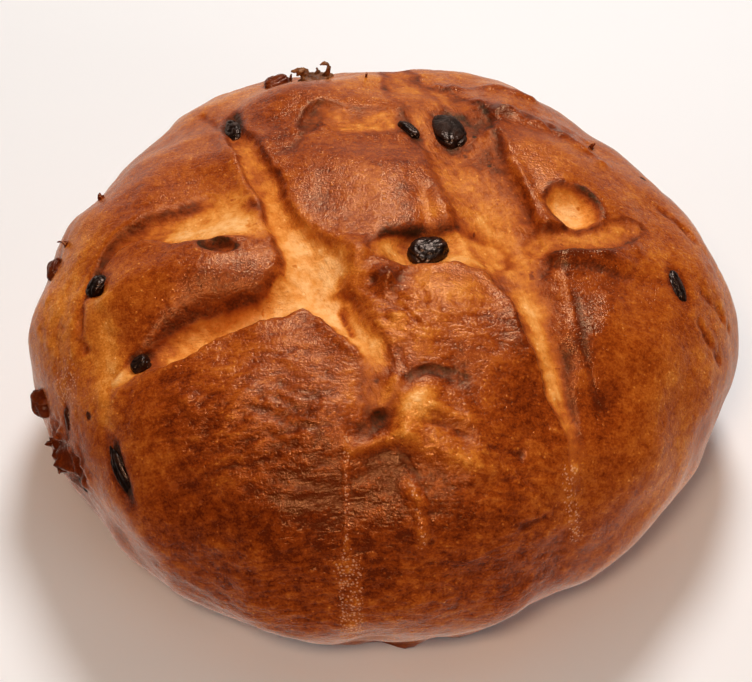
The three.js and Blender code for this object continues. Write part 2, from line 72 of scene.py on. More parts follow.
# Gashes: name, left and right walls, left fade, right fade, stations. Left and right are as the gash
# runs.
# The walls are how dark each bank is, partly a darker bake and partly painted shade on its steep side,
# and a fade is how far the floor's colour takes to turn to crust. A station is u, v, half width, depth,
# paleness, and the widths of its left and right banks, over which the floor rises to the crust.
GASHES = [
    ("left_long", 0, 0.5, 1.5, 0.7, [
        (-50.5, 60.5, 1.5, 1.5, 0.35, 4, 3), (-48.5, 47.5, 3, 3.4, 0.5, 4, 2.2),
        (-44.2, 36.2, 3.8, 4.2, 0.54, 4.5, 2.2), (-39.6, 24.5, 3.8, 5, 0.58, 4.5, 2),
        (-35.4, 13.4, 3.4, 5.4, 0.62, 4.5, 1.8), (-30.1, 1.3, 3.6, 5.8, 0.72, 4.5, 2.5),
        (-24.3, -10, 5.4, 6.5, 0.88, 4.5, 6), (-20, -19, 8, 7, 0.96, 6, 7)]),
    ("left_long_front", 0.1, 0.3, 3, 1.6, [
        (-24.3, -10, 5, 6.5, 0.84, 5, 6), (-20, -19, 8, 7, 0.94, 6, 7),
        (-18.3, -30, 5.8, 6.5, 0.96, 5, 2), (-11.5, -38, 5, 6, 0.85, 5, 1.8),
        (-6.5, -46.5, 3.6, 4.4, 0.95, 6, 1.8), (-2, -52.5, 3.4, 2.6, 0.8, 6, 2.5),
        (-1.5, -58, 4, 1.4, 0.6, 5, 4), (-3, -64, 3, 0.6, 0.42, 5, 5), (-4, -69, 2, 0.2, 0.36, 5, 5)]),
    ("right_long", 0.12, 0.3, 0.9, 1.4, [
        (5, 92, 4, 0.5, 0.42, 10, 10), (9, 74.5, 7.5, 1.5, 0.46, 8, 8), (18, 58, 12, 2, 0.44, 7, 6),
        (23.5, 45.5, 13, 3, 0.38, 7, 7), (28, 31.5, 11.5, 4, 0.4, 6, 8),
        (31, 19.5, 11, 4.8, 0.45, 5, 8), (33.5, 5, 11, 5.5, 0.52, 4, 8), (37, -7, 11, 6, 0.5, 4, 6),
        (41, -16, 9, 6, 0.5, 6, 3)]),
    ("right_long_front", 0.15, 0.4, 3, 0.6, [
        (38, -9, 10.5, 6.5, 0.6, 5, 4), (42, -21, 7.8, 6, 0.55, 9, 2),
        (46.2, -34, 5.6, 5.5, 0.5, 10, 1.8), (50.6, -46, 4.7, 5, 0.5, 9, 1.8),
        (55.2, -58, 3.8, 4, 0.5, 7, 1.8), (59.6, -67.5, 3.2, 3, 0.5, 5, 2),
        (62.8, -75, 2.4, 2, 0.45, 4, 2.5), (64, -82.5, 1.5, 1, 0.4, 4, 3),
        (66.5, -91, 1, 0.4, 0.25, 4, 4)]),
    ("left_upper_cross", 0.8, 0.3, 0.8, 1, [
        (-88, -14, 1, 2.5, 0.18, 2.4, 3), (-83.5, -6, 1.4, 4, 0.24, 2.4, 3),
        (-78, -1, 2, 5, 0.36, 2.4, 3), (-71.5, 1, 3.6, 5.5, 0.48, 2.6, 4),
        (-64, 1.5, 5.6, 5.5, 0.64, 3, 6), (-58, 1, 6.5, 4.5, 0.75, 8, 6)]),
    ("left_inner_cross", 0, 0.3, 5, 1, [
        (-60, 0, 5.5, 5.5, 0.75, 10, 6), (-54, 0, 7, 5.5, 0.85, 14, 7), (-48, 0.5, 7, 5, 0.9, 15, 7),
        (-42, -1, 6, 3.5, 0.8, 13, 6), (-36, -3.5, 4.5, 2, 0.6, 9, 5)]),
    ("left_lower_cross", 0.5, 0.4, 0.5, 0.6, [
        (-82, -51, 1.5, 0.8, 0.7, 2, 2), (-75.5, -48.5, 3, 2.5, 0.7, 3, 2), (-69, -46, 4, 5, 0.5, 6, 2),
        (-60.5, -43, 5, 8.5, 0.64, 10, 1.8), (-53, -39, 4.8, 9.5, 0.77, 11, 1.8),
        (-45.5, -36.5, 4.2, 9.5, 0.77, 11, 1.8), (-37.5, -34, 3.8, 9, 0.75, 9, 1.8),
        (-31.5, -31.5, 5, 7.5, 0.8, 7, 2), (-25.5, -27.5, 7, 6, 0.9, 5, 2)]),
    ("middle_cross", 1, 0.3, 0.7, 0.6, [
        (0.5, -14.5, 3, 2, 0.6, 5, 3), (4, -13.5, 5.5, 5, 0.72, 6, 2),
        (9.5, -13.5, 7.5, 6.5, 0.74, 6, 1.8), (16.5, -12.5, 8, 6.5, 0.8, 6, 1.8),
        (23, -11.5, 7, 5.5, 0.85, 8, 2), (29.5, -13, 7.5, 4.5, 0.7, 6, 3)]),
    ("right_cross", 0.5, 0.6, 0.8, 0.6, [
        (48, -5.5, 5, 4.5, 0.46, 2, 2), (54.5, -4.8, 4.6, 4.2, 0.5, 2, 2),
        (62, -2.6, 4.8, 3.5, 0.52, 2.5, 2), (69, 0.5, 5, 3, 0.5, 4, 2), (75, 5, 4, 2, 0.42, 4, 3),
        (80, 7.5, 2, 0.6, 0.36, 4, 4)]),
    ("back_cross", 0.6, 0.2, 3, 4, [
        (-22.5, 44, 2.5, 2.5, 0.26, 2, 4), (-19, 49.5, 5, 3, 0.34, 2, 5),
        (-12.5, 48.5, 6.5, 2.5, 0.5, 3, 6), (-5.5, 48.5, 5, 2, 0.54, 6, 6),
        (2.5, 49.5, 5.5, 2, 0.52, 8, 6)]),
    ("front_tear", 0.5, 0.3, 1.5, 2.5, [
        (-6, -81, 0.5, 0.6, 0.32, 4, 4), (-2.8, -77, 1.2, 2.2, 0.26, 4, 4),
        (0.5, -74.1, 2.2, 3.4, 0.2, 4, 5), (2.9, -72.2, 1.4, 2.6, 0.24, 3.5, 4.5),
        (4.9, -68.5, 0.6, 1.2, 0.36, 3, 4), (6.9, -64.6, 0.6, 1.4, 0.34, 2.5, 4),
        (10.6, -60.5, 0.8, 2.4, 0.22, 1.8, 3.6), (14.3, -59, 0.9, 2.8, 0.18, 1.8, 3.6),
        (18.3, -59.4, 0.8, 2.4, 0.2, 1.8, 3.6), (25.6, -61.2, 0.5, 1.2, 0.26, 1.8, 3.6),
        (29.5, -62.5, 0.3, 0.3, 0.3, 1.8, 3.6)]),
]

# Slits and folds, which are gashes with banks of one width: name, left and right walls, which are painted
# shade on top of a darker bake as for gashes, left fade, right fade, left bank, right bank, stations of
# u, v, half width, depth and paleness
SLITS = [
    ("front_slit", 0.4, 0.2, 0.5, 0.6, 1.2, 1.8, [
        (5.8, -82.5, 0.3, 0.8, 0.3), (7.6, -85.1, 0.45, 2.2, 0.26), (9.1, -87.9, 0.5, 2.6, 0.24),
        (11, -91, 0.45, 2, 0.24), (12, -94.5, 0.3, 0.4, 0.3)]),
    ("left_flank_slit", 0.8, 0.8, 0.6, 0.6, 2, 2, [
        (-83.5, -69, 1, 0.8, 0.12), (-85, -76, 2.2, 1.6, 0.1), (-83.5, -82, 2, 1.8, 0.1),
        (-82, -86, 1, 1.2, 0.16), (-80.5, -90, 0.6, 0.5, 0.24)]),
    ("back_fold", 0.6, 0.3, 0.6, 0.8, 2.2, 3, [
        (-31.5, 29, 0.4, 1, 0.16), (-26, 33.5, 0.45, 1.8, 0.14), (-24.5, 38, 0.5, 2.2, 0.14),
        (-23, 44, 0.5, 2.2, 0.14), (-21, 48.5, 0.5, 2.2, 0.14), (-17.5, 51.5, 0.45, 1.8, 0.14),
        (-12.5, 52, 0.4, 1, 0.16)]),
    ("right_fold", 0.4, 0.2, 0.5, 0.6, 1.4, 2, [
        (52.5, -15, 0.35, 1.2, 0.2), (55, -18, 0.4, 1.4, 0.2), (57.5, -25, 0.4, 1.4, 0.2),
        (60.5, -35, 0.4, 1.4, 0.2), (62.5, -44.5, 0.4, 1.3, 0.2), (65, -52, 0.35, 1.1, 0.2),
        (68, -59, 0.3, 0.8, 0.22), (71, -63.5, 0.3, 0.4, 0.24)]),
    ("flap_fold", 0.8, 0.3, 0.5, 0.5, 1.4, 3, [
        (50.5, -14, 0.4, 1.6, 0.16), (55.5, -15.5, 0.45, 2.2, 0.14), (61, -14.5, 0.45, 2.2, 0.14),
        (67.5, -15, 0.5, 2.6, 0.14), (72.5, -15.5, 0.5, 2.6, 0.14), (75, -12, 0.4, 1.6, 0.16),
        (76, -6, 0.35, 0.6, 0.2)]),
    ("back_crease", 0.3, 0.3, 1.5, 1.5, 5, 5, [
        (-34, 108, 1, 0.6, 0.3), (-30, 122, 1.6, 1.8, 0.3), (-33, 137, 1.4, 1.6, 0.3),
        (-29, 152, 1, 0.6, 0.3)]),
]
for *head, left_bank, right_bank, stations in SLITS:
    GASHES.append((*head, [(*station, left_bank, right_bank) for station in stations]))

# Swells of the crust: u, v, radius along, radius across, turn in degrees, height
SWELLS = [
    (-30, 62, 20, 14, 0, 2), (-6, 16, 22, 22, 0, 4.4), (20, -36, 22, 15, -25, 3),
    (-55, -20, 27, 10, 6, 5), (-38, -56, 26, 18, 15, 2.5), (-70, 26, 24, 16, 40, 2),
    (54, 33, 18, 14, 40, 2), (82, -32, 16, 22, 0, 1.5), (64, -11, 13, 4, 8, 2.2),
    (15, -74.5, 13, 10, -20, 1.6), (10.8, -69.8, 8, 4.6, 42, 3), (4.8, -63.4, 3, 3.4, 0, 1.6),
    (20, 7, 5, 11, 10, 1.6), (2, -26.5, 5, 4.2, -15, 4.4), (67, -38, 4, 20, -14, 0.7),
    (-7, -16, 5, 5, 0, 3.5), (46, 54, 12, 5, -12, 1.8), (58, 100, 24, 16, 0, 2),
    (84, 56, 18, 34, 25, 1.4), (98, 14, 20, 24, 0, 1.8), (-97, 22, 15, 14, 0, 3.4),
    (-131, -50, 14, 16, 0, 1.8), (-80, 95, 22, 18, 0, 2), (0, 140, 26, 16, 0, 1.5),
]

# Hollows: u, v, radius along, radius across, turn in degrees, depth, paleness of the floor. The floors of
# the holes with a paleness of 0.24 or less are painted dark, which is painted shade in them.
HOLLOWS = [
    (57.8, 8.8, 9.5, 8.6, 0, 7, 0.84),
    (-47.5, -10.6, 6.4, 3.6, -10, 5, 0.24),
    (80.2, 8.3, 1.2, 1.5, 0, 3, 0),
    (-1.1, -62.7, 1.2, 1.2, 0, 1.2, 0.1),
    (88.8, 37.8, 1.5, 1.5, 0, 0.8, 0),
    (-94.7, -57.2, 1, 1, 0, 0.6, 0.05),
]

# Strips: points, half width, rise of the crust, share of it in lumps, change of paleness,
# density of blisters if there are any. A strip that sinks and turns darker is a crease, whose
# darkening is painted shade on top of its own browning; the strips marked below paint shadow or light.
STRIPS = [
    ([(39.7, -17.4), (46.4, -34.8), (53.2, -55), (57.5, -63)], 2.2, 0.3, 0.1, 0.24),
    ([(47.9, -105.2), (52.5, -103.9), (57.2, -101.7)], 0.9, -0.6, 0.1, -0.16),
    ([(99.8, -10.9), (107.9, -12), (116.8, -13.2)], 1.2, -0.9, 0.45, -0.12),
    ([(90.4, 20.9), (95.5, 16.8), (99.6, 10.8)], 1.2, -0.8, 0.45, -0.12),
    ([(98.7, -20.7), (105.8, -25), (116, -28.4)], 1.2, -0.9, 0.45, -0.12),
    ([(-86, -17.3), (-89.6, -17.2), (-92, -22.1), (-94.2, -28.2), (-94, -35)], 1.8, -1.2, 0.45, -0.16),
    ([(-9.8, -80.3), (-10.2, -103.4), (-10.6, -119.3)], 1.2, 0.3, 0.45, 0.12, 1.1),
    ([(-10.6, -119.3), (-10.1, -136.1), (-12.8, -154.4)], 4.4, 0.3, 0.45, 0.06, 1.9),
    ([(63.5, -85.2), (65.6, -94.4), (75.4, -107.5)], 3, 0.3, 0.45, 0.08, 1.4),
    ([(8.6, -92.9), (11.1, -99.6), (13.1, -106.1), (13.1, -111.3)], 2.2, 1.2, 0.45, 0.14, 0.8),
    ([(37.5, 53), (41, 36.5), (45, 16.3), (47.5, 6), (49, 1)], 2, 0.6, 0.45, -0.06),
    ([(21, 75.2), (30.5, 65.1), (34.9, 51.9), (36.2, 40.4)], 2.2, 0.6, 0.45, -0.06),
    ([(25.9, 73.1), (38, 72.9), (52.4, 71.4)], 2.2, 0.7, 0.45, -0.14),
    ([(39.7, 54.2), (46.3, 53), (55.3, 50.3), (65.3, 44.8), (73, 36)], 2.2, 1, 0.45, -0.16),
    ([(-62.2, 69.5), (-52.4, 51.5)], 1.4, -0.8, 0.45, -0.1),
    ([(-83.2, -21.4), (-84.3, -42.4), (-86.6, -61.3)], 4, -0.5, 0.45, 0.2),
    ([(50.6, -10.8), (57.9, -9.5), (66.6, -8), (74.4, -1.5), (76.9, -5)], 2, 0.5, 0.45, -0.12),
    ([(15.7, -71.3), (20.9, -72.8), (26.8, -75.1)], 1.9, 1.5, 0.1, 0.06),
    ([(13.5, -75.3), (20, -76.8), (24.9, -79.3)], 1.5, -1, 0.1, -0.06),
    ([(10.5, -80), (19.5, -84), (29, -86.8)], 4.8, 2.4, 0.1, 0.13),
    ([(22.5, -67.4), (28, -73), (30.1, -78.8), (31.7, -82.3)], 2, 0.9, 0.1, -0.06),
    ([(-7.3, -83.1), (0.1, -80.8), (6.2, -79)], 2.6, 2, 0.1, 0.16),
    ([(32.7, -81.9), (38.5, -82.6), (44.9, -83.6)], 0.9, -0.9, 0.45, -0.16),
    ([(14.5, 12), (14.2, 6.5), (13.9, -3.5)], 2.4, -0.8, 0.1, 0.16),
    ([(-11.7, -33.5), (-10.4, -38), (-9, -42), (-8, -44.5)], 1.1, -1.8, 0, -0.62),
    # Painted shadow along the upper and right rim of the bowl
    ([(49, 11.5), (52, 15.5), (57.8, 17.7), (64.6, 15), (67.6, 9), (66.3, 3.5)], 1, 0.5, 0.5, -0.26),
    # Painted shade in the fold on the right, partly its own browning
    ([(53, -15), (57.2, -24), (60.5, -35), (63, -46), (68, -59), (70, -63)], 1.3, -0.2, 0.6, -0.14),
    ([(70, 96), (78, 110), (80, 124)], 3, 0.3, 0.45, 0.06, 1.4),
    ([(10, 52), (16, 42.9), (20.7, 24.6), (25.3, 7.9), (29.9, 0.5), (38, -6.4)], 3.4, 0.4, 0.1, 0.17),
    ([(36.1, 33.7), (41.6, 15.2), (45.8, 0.1)], 3, 0, 0, -0.08),
    ([(38.3, -20), (41.5, -37.5), (45, -52)], 4, 0.4, 0, -0.12),
    # Painted shadow under the lip of the arch in front
    ([(8, -61.5), (11.5, -59.3), (16, -58.6), (22, -59.6), (27, -61.2)], 0.9, 0, 0, -0.1),
    # Painted light, lifting the shade under the lower edge of the crown's plate
    ([(16, -3.5), (22, -4.5)], 2.5, 0, 0, 0.14),
    ([(41, -11), (45.5, -18), (50.5, -30), (54, -43)], 3, 0, 0, 0.13),
]

# Baked colour of the crust: u, v, radius along, radius across, turn in degrees, change of paleness.
# Most spots are the crust's own browning. The paler spots at (0, 78) on the back, at (108, 0) and
# (-100, -30) on the flanks, at (20, -30) on a front plate and at (-8, 12) on the crown's plate are
# painted sheen. The darker spot at (-6, 16), which darkens that plate round its paler middle, and those
# at (-35, -100) and (40, -115) in front are painted shade on top of a darker bake.
BAKE_AND_LIGHT_SPOTS = [
    (-35, -100, 60, 30, 0, -0.15), (20, -52, 24, 14, -20, -0.1), (40, -115, 60, 34, 0, -0.12),
    (80, -40, 20, 35, 0, 0.03), (16, 1, 3, 7, 10, 0.14), (-3, -66, 7, 7, 0, 0.34),
    (-30, 60, 24, 14, 0, -0.14), (-34, 41, 6, 9, 20, -0.12), (-16, 51, 7, 4, 0, -0.1),
    (84.8, -12.6, 3, 3, 0, -0.1), (14, -73, 13, 10, -25, 0.12), (10.8, -69.5, 7, 4.5, 42, 0.34),
    (13, -55, 9, 3, -5, 0.14), (-67, -35.5, 9, 5, 15, -0.15), (3.5, -8.5, 6, 3, 20, -0.12),
    (-45, -20, 9, 9, 0, -0.12), (-36, -67, 22, 10, 0, -0.1), (-29, -95, 12, 9, 0, -0.08),
    (47, -70, 9, 9, 0, -0.18), (62, -37, 6, 14, -20, -0.08), (71, -58, 6, 9, 0, -0.12),
    (54, -10, 4, 4, 0, -0.22), (-70, -80, 14, 12, 0, 0.1), (-83, -96, 5, 12, 0, 0.12),
    (26, 52, 10, 6, 0, -0.08), (76, -22, 6, 6, 0, 0.06), (-18, 17, 7, 15, 20, -0.08),
    (8, 6, 4, 7, 10, -0.1), (40, 6, 3.5, 9, -25, -0.1), (-46.5, -89.5, 7, 3.5, 0, 0.1),
    (108, 0, 18, 60, 0, 0.08), (4, -46, 8, 8, 0, 0.08), (64, -36, 6, 24, -16, -0.1),
    (74, -67, 6, 8, 0, -0.12), (55, 28, 14, 12, 0, 0.09), (-100, -30, 18, 45, 0, 0.17),
    (-30, 96, 70, 14, 0, 0.05), (2, -26.5, 5, 4.4, 0, -0.4), (40.1, 53.5, 4, 4, 0, -0.14),
    (52.6, 54.1, 4, 4, 0, -0.14), (61.3, 49.7, 4, 4, 0, -0.12), (0, 78, 60, 14, 0, 0.2),
    (64, -11, 13, 4.5, 8, -0.2), (-105.6, -42.1, 11, 12, 0, -0.05), (-113, -70, 10, 7, 30, -0.26),
    (-127, -59, 10, 10, 0, -0.42), (-33, 2, 6, 12, 30, 0.04), (-72, 26, 30, 24, 40, -0.02),
    (-55, -20, 30, 12, 6, -0.1), (-6, 16, 24, 22, 0, -0.09), (-8, 12, 10, 9, 0, 0.13),
    (20, -30, 16, 8, -20, 0.15), (14, -48, 10, 6, 0, 0.14), (-5, -22, 4, 9, 0, 0.1),
    (0, -90, 9, 9, 0, -0.08), (-50, -65, 16, 10, 0, -0.06), (60, -108, 22, 20, 0, 0.07),
    (115, -82, 24, 26, 0, 0.09), (32, 74, 22, 8, -10, -0.16), (8, 70, 8, 14, 0, 0.08),
    (-55, 18, 8, 8, 0, 0.07), (-95, 5, 22, 36, 0, 0.05), (0, 128, 110, 34, 0, -0.06),
    (-70, 100, 24, 18, 20, 0.08), (40, 104, 30, 12, -10, 0.06), (20, 140, 26, 12, 0, -0.06),
    (-60, 130, 18, 14, 0, -0.06),
]
BAKE = 0.38
# Paler crust towards the base, which is a painted sheen along the lower rim, and the heights where it
# starts and where it is full
FOOT_SHEEN = 0.14
FOOT_SHEEN_HEIGHTS = (34, 4)

# Blisters: u, v, radius along, radius across, turn in degrees, density
BLISTER_SPOTS = [
    (-105.6, -42.1, 11, 12, 0, 1),
    (-7, 12, 26, 22, 0, 0.4),
    (-55, -18, 32, 12, 6, 0.4),
    (-72, 24, 30, 24, 40, 0.35),
]

# Raisins: u, v, length, width, thickness, turn in degrees, how deep the middle sits
RAISINS = [
    (-49.5, 53.2, 12.5, 6.2, 6.5, -78, 0.3),
    (23.4, 45.3, 17, 11.5, 6.5, -75, 0.4),
    (10.1, 45, 10.5, 4.2, 5, -55, 0.4),
    (15.6, -9.4, 13.5, 10.5, 8.5, 28, -0.6),
    (-85.6, -15.1, 7.5, 6.5, 6, 40, 0.3),
    (-74.2, -46.3, 6.8, 6.2, 6, 20, 0.2),
    (-85, -78.5, 19.5, 6, 6, -80, 1.2),
    (90, -11.8, 11.5, 5, 4.5, -68, 0.8),
    (-132, -34, 10, 8, 8, -70, -1),
    (-110.3, -52.9, 8.5, 3.6, 4, 60, 0.8),
    (-123.5, -74, 7, 5.5, 5, -40, 1),
    (-109.5, 7.6, 7.5, 6, 6, 80, -0.6),
    (-35, 83.5, 9, 7, 7, 10, -0.6),
    (48, 118, 11, 9, 7, 20, 1.2),
    (-62, 126, 12, 8.5, 7, -30, 1.4),
    (118, 52, 10, 8, 7, 60, 1.2),
    (96, 84, 12, 9, 7.5, -40, 1.4),
    (-10, 152, 10, 8, 7, 10, 1.2),
]

# The crust round a raisin: depth of its dimple, radius of the dimple as a share of the raisin's size,
# and how much darker its ring is, which is painted shade round the raisin's pocket, with the places
# where the ring starts and where it is full
RAISIN_DIMPLE = 1.2
RAISIN_HOLD = 0.75
RAISIN_SHADE_RING = 0.18
RAISIN_SHADE_RING_EDGES = (1.2, 0.7)

# Flecks of crust that stand up from it: u, v, height, how far the tip hooks over, radius
FLECKS = [
    (-102, 11.5, 2.6, -1.6, 0.55),
    (-93.5, 29.7, 1.6, 0.4, 0.8),
    (71.5, 46, 2, 0.8, 0.7),
    (-4.4, 78, 1.6, 0.3, 0.45),
    (-31, 86, 3, 1, 0.5),
    (-129, -52, 2.2, -1, 0.8),
    (-131, -63, 2.4, -0.8, 0.9),
]
FLECK_BAKE = 0.12
FLECK_SEED = 80
# Path of a fleck from root to tip: share of the hook, share of the height, share of the radius
FLECK_CURL = [(0.2, 0.45, 1), (0.6, 0.85, 0.7), (1, 1, 0.25)]
FLECK_ROOT_DEPTH = 0.6
FLECK_ROOT_RADIUS = 1.3

# Unevenness of the crust: wavelength, height, seed
UNEVENNESS = [(62, 0.9, 1), (30, 0.55, 2), (15, 0.14, 3), (7, 0.04, 4)]
FLAT_RIM = 14

# Plane waves that unevenness is made of, and the steps from one wave, or one seed, to the next
WAVE_COUNT = 12
WAVE_SHORTEST = 0.75
WAVE_RANGE = 0.5
WAVE_LENGTH_STEP = 0.618
WAVE_PHASE_STEP = 2.4
SEED_LENGTH_STEP = 0.377
SEED_PHASE_STEP = 1.7
SEED_TURN_STEP = 3
GOLDEN_ANGLE = math.pi * (3 - math.sqrt(5))

# Patches of folds: u, v, radius along, radius across, turn in degrees, height, wavelength, seed.
# The folds run along the turn, drawn out, and sway from side to side.
FOLDS = [
    (-38, -74, 34, 28, 0, 0.5, 9, 5),
    (25, -48, 26, 18, -12, 0.2, 6, 15),
    (6, -42, 13, 12, -42, 0.9, 7, 25),
    (30, -95, 40, 26, 4, 0.3, 8, 35),
    (17, -77, 13, 11, -25, 0.35, 4.5, 45),
    (-15, -122, 75, 28, 0, 0.3, 8, 55),
    (11, -101, 4, 11, -60, 0.5, 3.5, 65),
    (10, 118, 80, 26, 0, 0.35, 10, 75),
    (-70, 110, 30, 24, 40, 0.3, 8, 85),
]
FOLD_STRETCH = 2.8
FOLD_SWAY = 2.2
FOLD_SWAY_LENGTH = 26
FOLD_DRIFT = 0.3
FOLD_OCTAVES = (1, 2)
FOLD_CREST_ROUNDING = 0.05
FOLD_FULL_HEIGHT = 0.4

# Crags and rough flanks: u, v, radius along, radius across, turn in degrees, height
CRAGS = [
    (-114, -72, 8, 6, 30, 1.3),
    (-127, -59, 9, 9, 0, 2.2),
    (2, -26.5, 5, 4.5, 0, 1.5),
    (52, 56, 24, 7, -15, 0.35),
    (106, 0, 14, 60, 0, 0.1),
    (-106, -20, 14, 50, 0, 0.16),
    (0, -128, 90, 18, 0, 0.12),
]
CRAG_WAVES = [(7, 0.7, 12), (3.2, 0.4, 13)]

# Lumps and ragged sides of the strips
LUMP_LENGTH = 7
LUMP_SEED = 14
STRIP_RAGGED = 0.5

# Below, _HALF and _DEPTH are the half width and depth of a gash from which something shows in full,
# and a pair of values is where something starts and where it is full.

# Section of a gash, and the ragged line of its edges: wavelength, size, seed
RAGGED = [(14, 0.4, 7), (4, 0.16, 8)]
RAGGED_HALF = 3
FLOOR_DISH = 0.2
FOOT_ROUNDING = 0.5
FOOT_HALF = 2
BANK_ROUNDING = 2.6
SOFT_ROUNDING = 1.6
SOFT_FADES = (1.5, 3)
JUNCTION_BLEND = 1.5
PATH_REACH = 24

# Lip of crust along a steep bank
LIP_HEIGHT = 0.5
LIP_WIDTH = 1.8
LIP_BANKS = (3.5, 2)
LIP_HALF = 2
LIP_DEPTH = 4

# Floor of a gash: the value of its opening far away and the range that shows, how far the dough is drawn
# up its banks, and how much browner its edges are
CLOSED = -3
OPENING_RANGE = (-1, 1)
DOUGH_RISE = 0.1
SOFT_DOUGH_RISE = 0.55
FLOOR_EDGE = 0.22
FLOOR_EDGE_HALF = 4
FLOOR_EDGE_REACH = 1.3
TONE_SHARPNESS = 4

# Darker crust along a gash and its dark banks: partly a darker bake and partly painted shade, where the
# crust rolls down into the gash and on its steep banks
RIM_BAKE_AND_SHADE = 0.07
RIM_WIDTH = 7
RIM_UP_BANK = 0.3
RIM_DEPTH = 5
RIM_FADES = (4, 1.5)
RIM_WALL = 0.25
WALL_DEPTH = 3
WALL_FOOT = (-0.7, 1.3)
WALL_TOP = (0.95, 0.15)

# Section and colour of a hollow, as shares of its radius
HOLLOW_POWER = 2.6
HOLLOW_FLAT = 1.03
HOLLOW_REACH = 2
HOLLOW_EDGE = 0.4
HOLLOW_PALE = 0.5
HOLLOW_OPEN = 0.92
HOLLOW_FADE = 0.08
HOLLOW_WALL_FOOT = (0.75, 0.95)
HOLLOW_WALL_TOP = (1.1, 1)

# Fineness of the loaf's mesh
FINE_STEP = 0.98
COARSE_STEP = 2.4
FINE_UNTIL = 118
RING_SPACING = 0.87
LAST_RING = 0.7
FEWEST_IN_RING = 6
SECTION_STEPS = 400
SPLINE_STEPS = 6
NORMAL_STEP = 0.5
BASE_STEPS = 16
BASE_DENSITY = 0.6
GATHER = 0.66
GATHER_REACH = 3
GATHER_UP_BANK = 0.4
GATHER_FURTHEST = 1
GATHER_BANKS = (14, 5)
# Least values that something is divided by
SHORTEST = 1e-9
FAINTEST = 1e-6

# Shading of the loaf: its cavities, whose darkening of the crust is painted shade, and the heights where
# its underside starts and is full
CAVITY_ROUNDS = 12
CAVITY_RANGE = (-1, 1.2)
UNDER_HEIGHTS = (5, 0.5)


def smoothstep(x, low, high):
    t = np.clip((x - low) / (high - low), 0, 1)
    return t * t * (3 - 2 * t)


def up_to(value, limit):
    """Share of the limit, at most 1."""
    return np.minimum(value / limit, 1)


def unit(vectors):
    return vectors / np.maximum(np.linalg.norm(vectors, axis=-1, keepdims=True), SHORTEST)


def cos_sin(degrees):
    return math.cos(math.radians(degrees)), math.sin(math.radians(degrees))


# The smooth loaf's shape

def make_section():
    """Distance along the crust, radius and height of the loaf's half section."""
    a = np.linspace(0, math.pi / 2, SECTION_STEPS + 1)
    power = 2 / DOME_POWER
    dome_radius = LOAF_RADIUS * np.sin(a) ** power
    dome_height = BELLY_HEIGHT + (LOAF_HEIGHT - BELLY_HEIGHT) * np.clip(np.cos(a), 0, 1) ** power
    foot_radius = BASE_RADIUS + (LOAF_RADIUS - BASE_RADIUS) * np.cos(a)
    foot_height = BELLY_HEIGHT * (1 - np.sin(a))
    radius = np.concatenate([dome_radius, foot_radius[1:]])
    height = np.concatenate([dome_height, foot_height[1:]])
    steps = np.hypot(np.diff(radius), np.diff(height))
    return np.concatenate([[0], np.cumsum(steps)]), radius, height


SECTION_ALONG, SECTION_RADIUS, SECTION_HEIGHT = make_section()
CRUST_LENGTH = SECTION_ALONG[-1]


def smooth_point(u, v):
    along = np.hypot(u, v)
    angle = np.arctan2(v, u)
    plan = np.ones_like(angle)
    for lobes, cosine, sine in PLAN_WAVES:
        plan = plan + cosine * np.cos(lobes * angle) + sine * np.sin(lobes * angle)
    reach = np.interp(along, SECTION_ALONG, SECTION_RADIUS) * plan
    height = np.interp(along, SECTION_ALONG, SECTION_HEIGHT)
    return np.stack([reach * np.cos(angle), reach * np.sin(angle), height], -1)


def smooth_axes(u, v):
    """Directions along u, along v and out of the smooth loaf."""
    h = NORMAL_STEP
    along_u = unit(smooth_point(u + h, v) - smooth_point(u - h, v))
    along_v = smooth_point(u, v + h) - smooth_point(u, v - h)
    out = unit(np.cross(along_u, along_v))
    return along_u, np.cross(out, along_u), out


# Relief of the crust

def spline_through(stations):
    """A smooth curve through the stations of a gash, or through the points of a strip or a tube."""
    rows = np.array(stations, float)
    points = []
    last = len(rows) - 1
    for i in range(last):
        before = rows[max(i - 1, 0)]
        here = rows[i]
        following = rows[i + 1]
        after = rows[min(i + 2, last)]
        for k in range(SPLINE_STEPS):
            t = k / SPLINE_STEPS
            bend = 2 * before - 5 * here + 4 * following - after
            twist = 3 * here - before - 3 * following + after
            points.append(0.5 * (2 * here + (following - before) * t + bend * t ** 2 + twist * t ** 3))
    points.append(rows[last])
    return np.array(points)


GASH_PATHS = {name: spline_through(stations) for name, *_, stations in GASHES}


class Nearest:
    """The points near a path: their indices, distance and offset from it, side, and its values there."""

    def __init__(self, path, u, v):
        low = path[:, :2].min(0) - PATH_REACH
        high = path[:, :2].max(0) + PATH_REACH
        self.index = np.flatnonzero((u > low[0]) & (u < high[0]) & (v > low[1]) & (v < high[1]))
        pu = u[self.index]
        pv = v[self.index]
        count = len(self.index)
        self.distance = np.full(count, np.inf)
        self.off = np.zeros((count, 2))
        self.on_left = np.zeros(count, bool)
        self.values = np.zeros((count, path.shape[1] - 2))
        for start, end in zip(path[:-1], path[1:]):
            du, dv = end[:2] - start[:2]
            length = math.hypot(du, dv)
            t = np.clip(((pu - start[0]) * du + (pv - start[1]) * dv) / length ** 2, 0, 1)
            off_u = pu - start[0] - t * du
            off_v = pv - start[1] - t * dv
            distance = np.hypot(off_u, off_v)
            closer = distance < self.distance
            self.distance[closer] = distance[closer]
            self.off[closer, 0] = off_u[closer]
            self.off[closer, 1] = off_v[closer]
            self.on_left[closer] = (du * off_v - dv * off_u)[closer] > 0
            self.values[closer] = start[2:] + t[closer, None] * (end[2:] - start[2:])

    def by_side(self, left, right):
        return np.where(self.on_left, left, right)


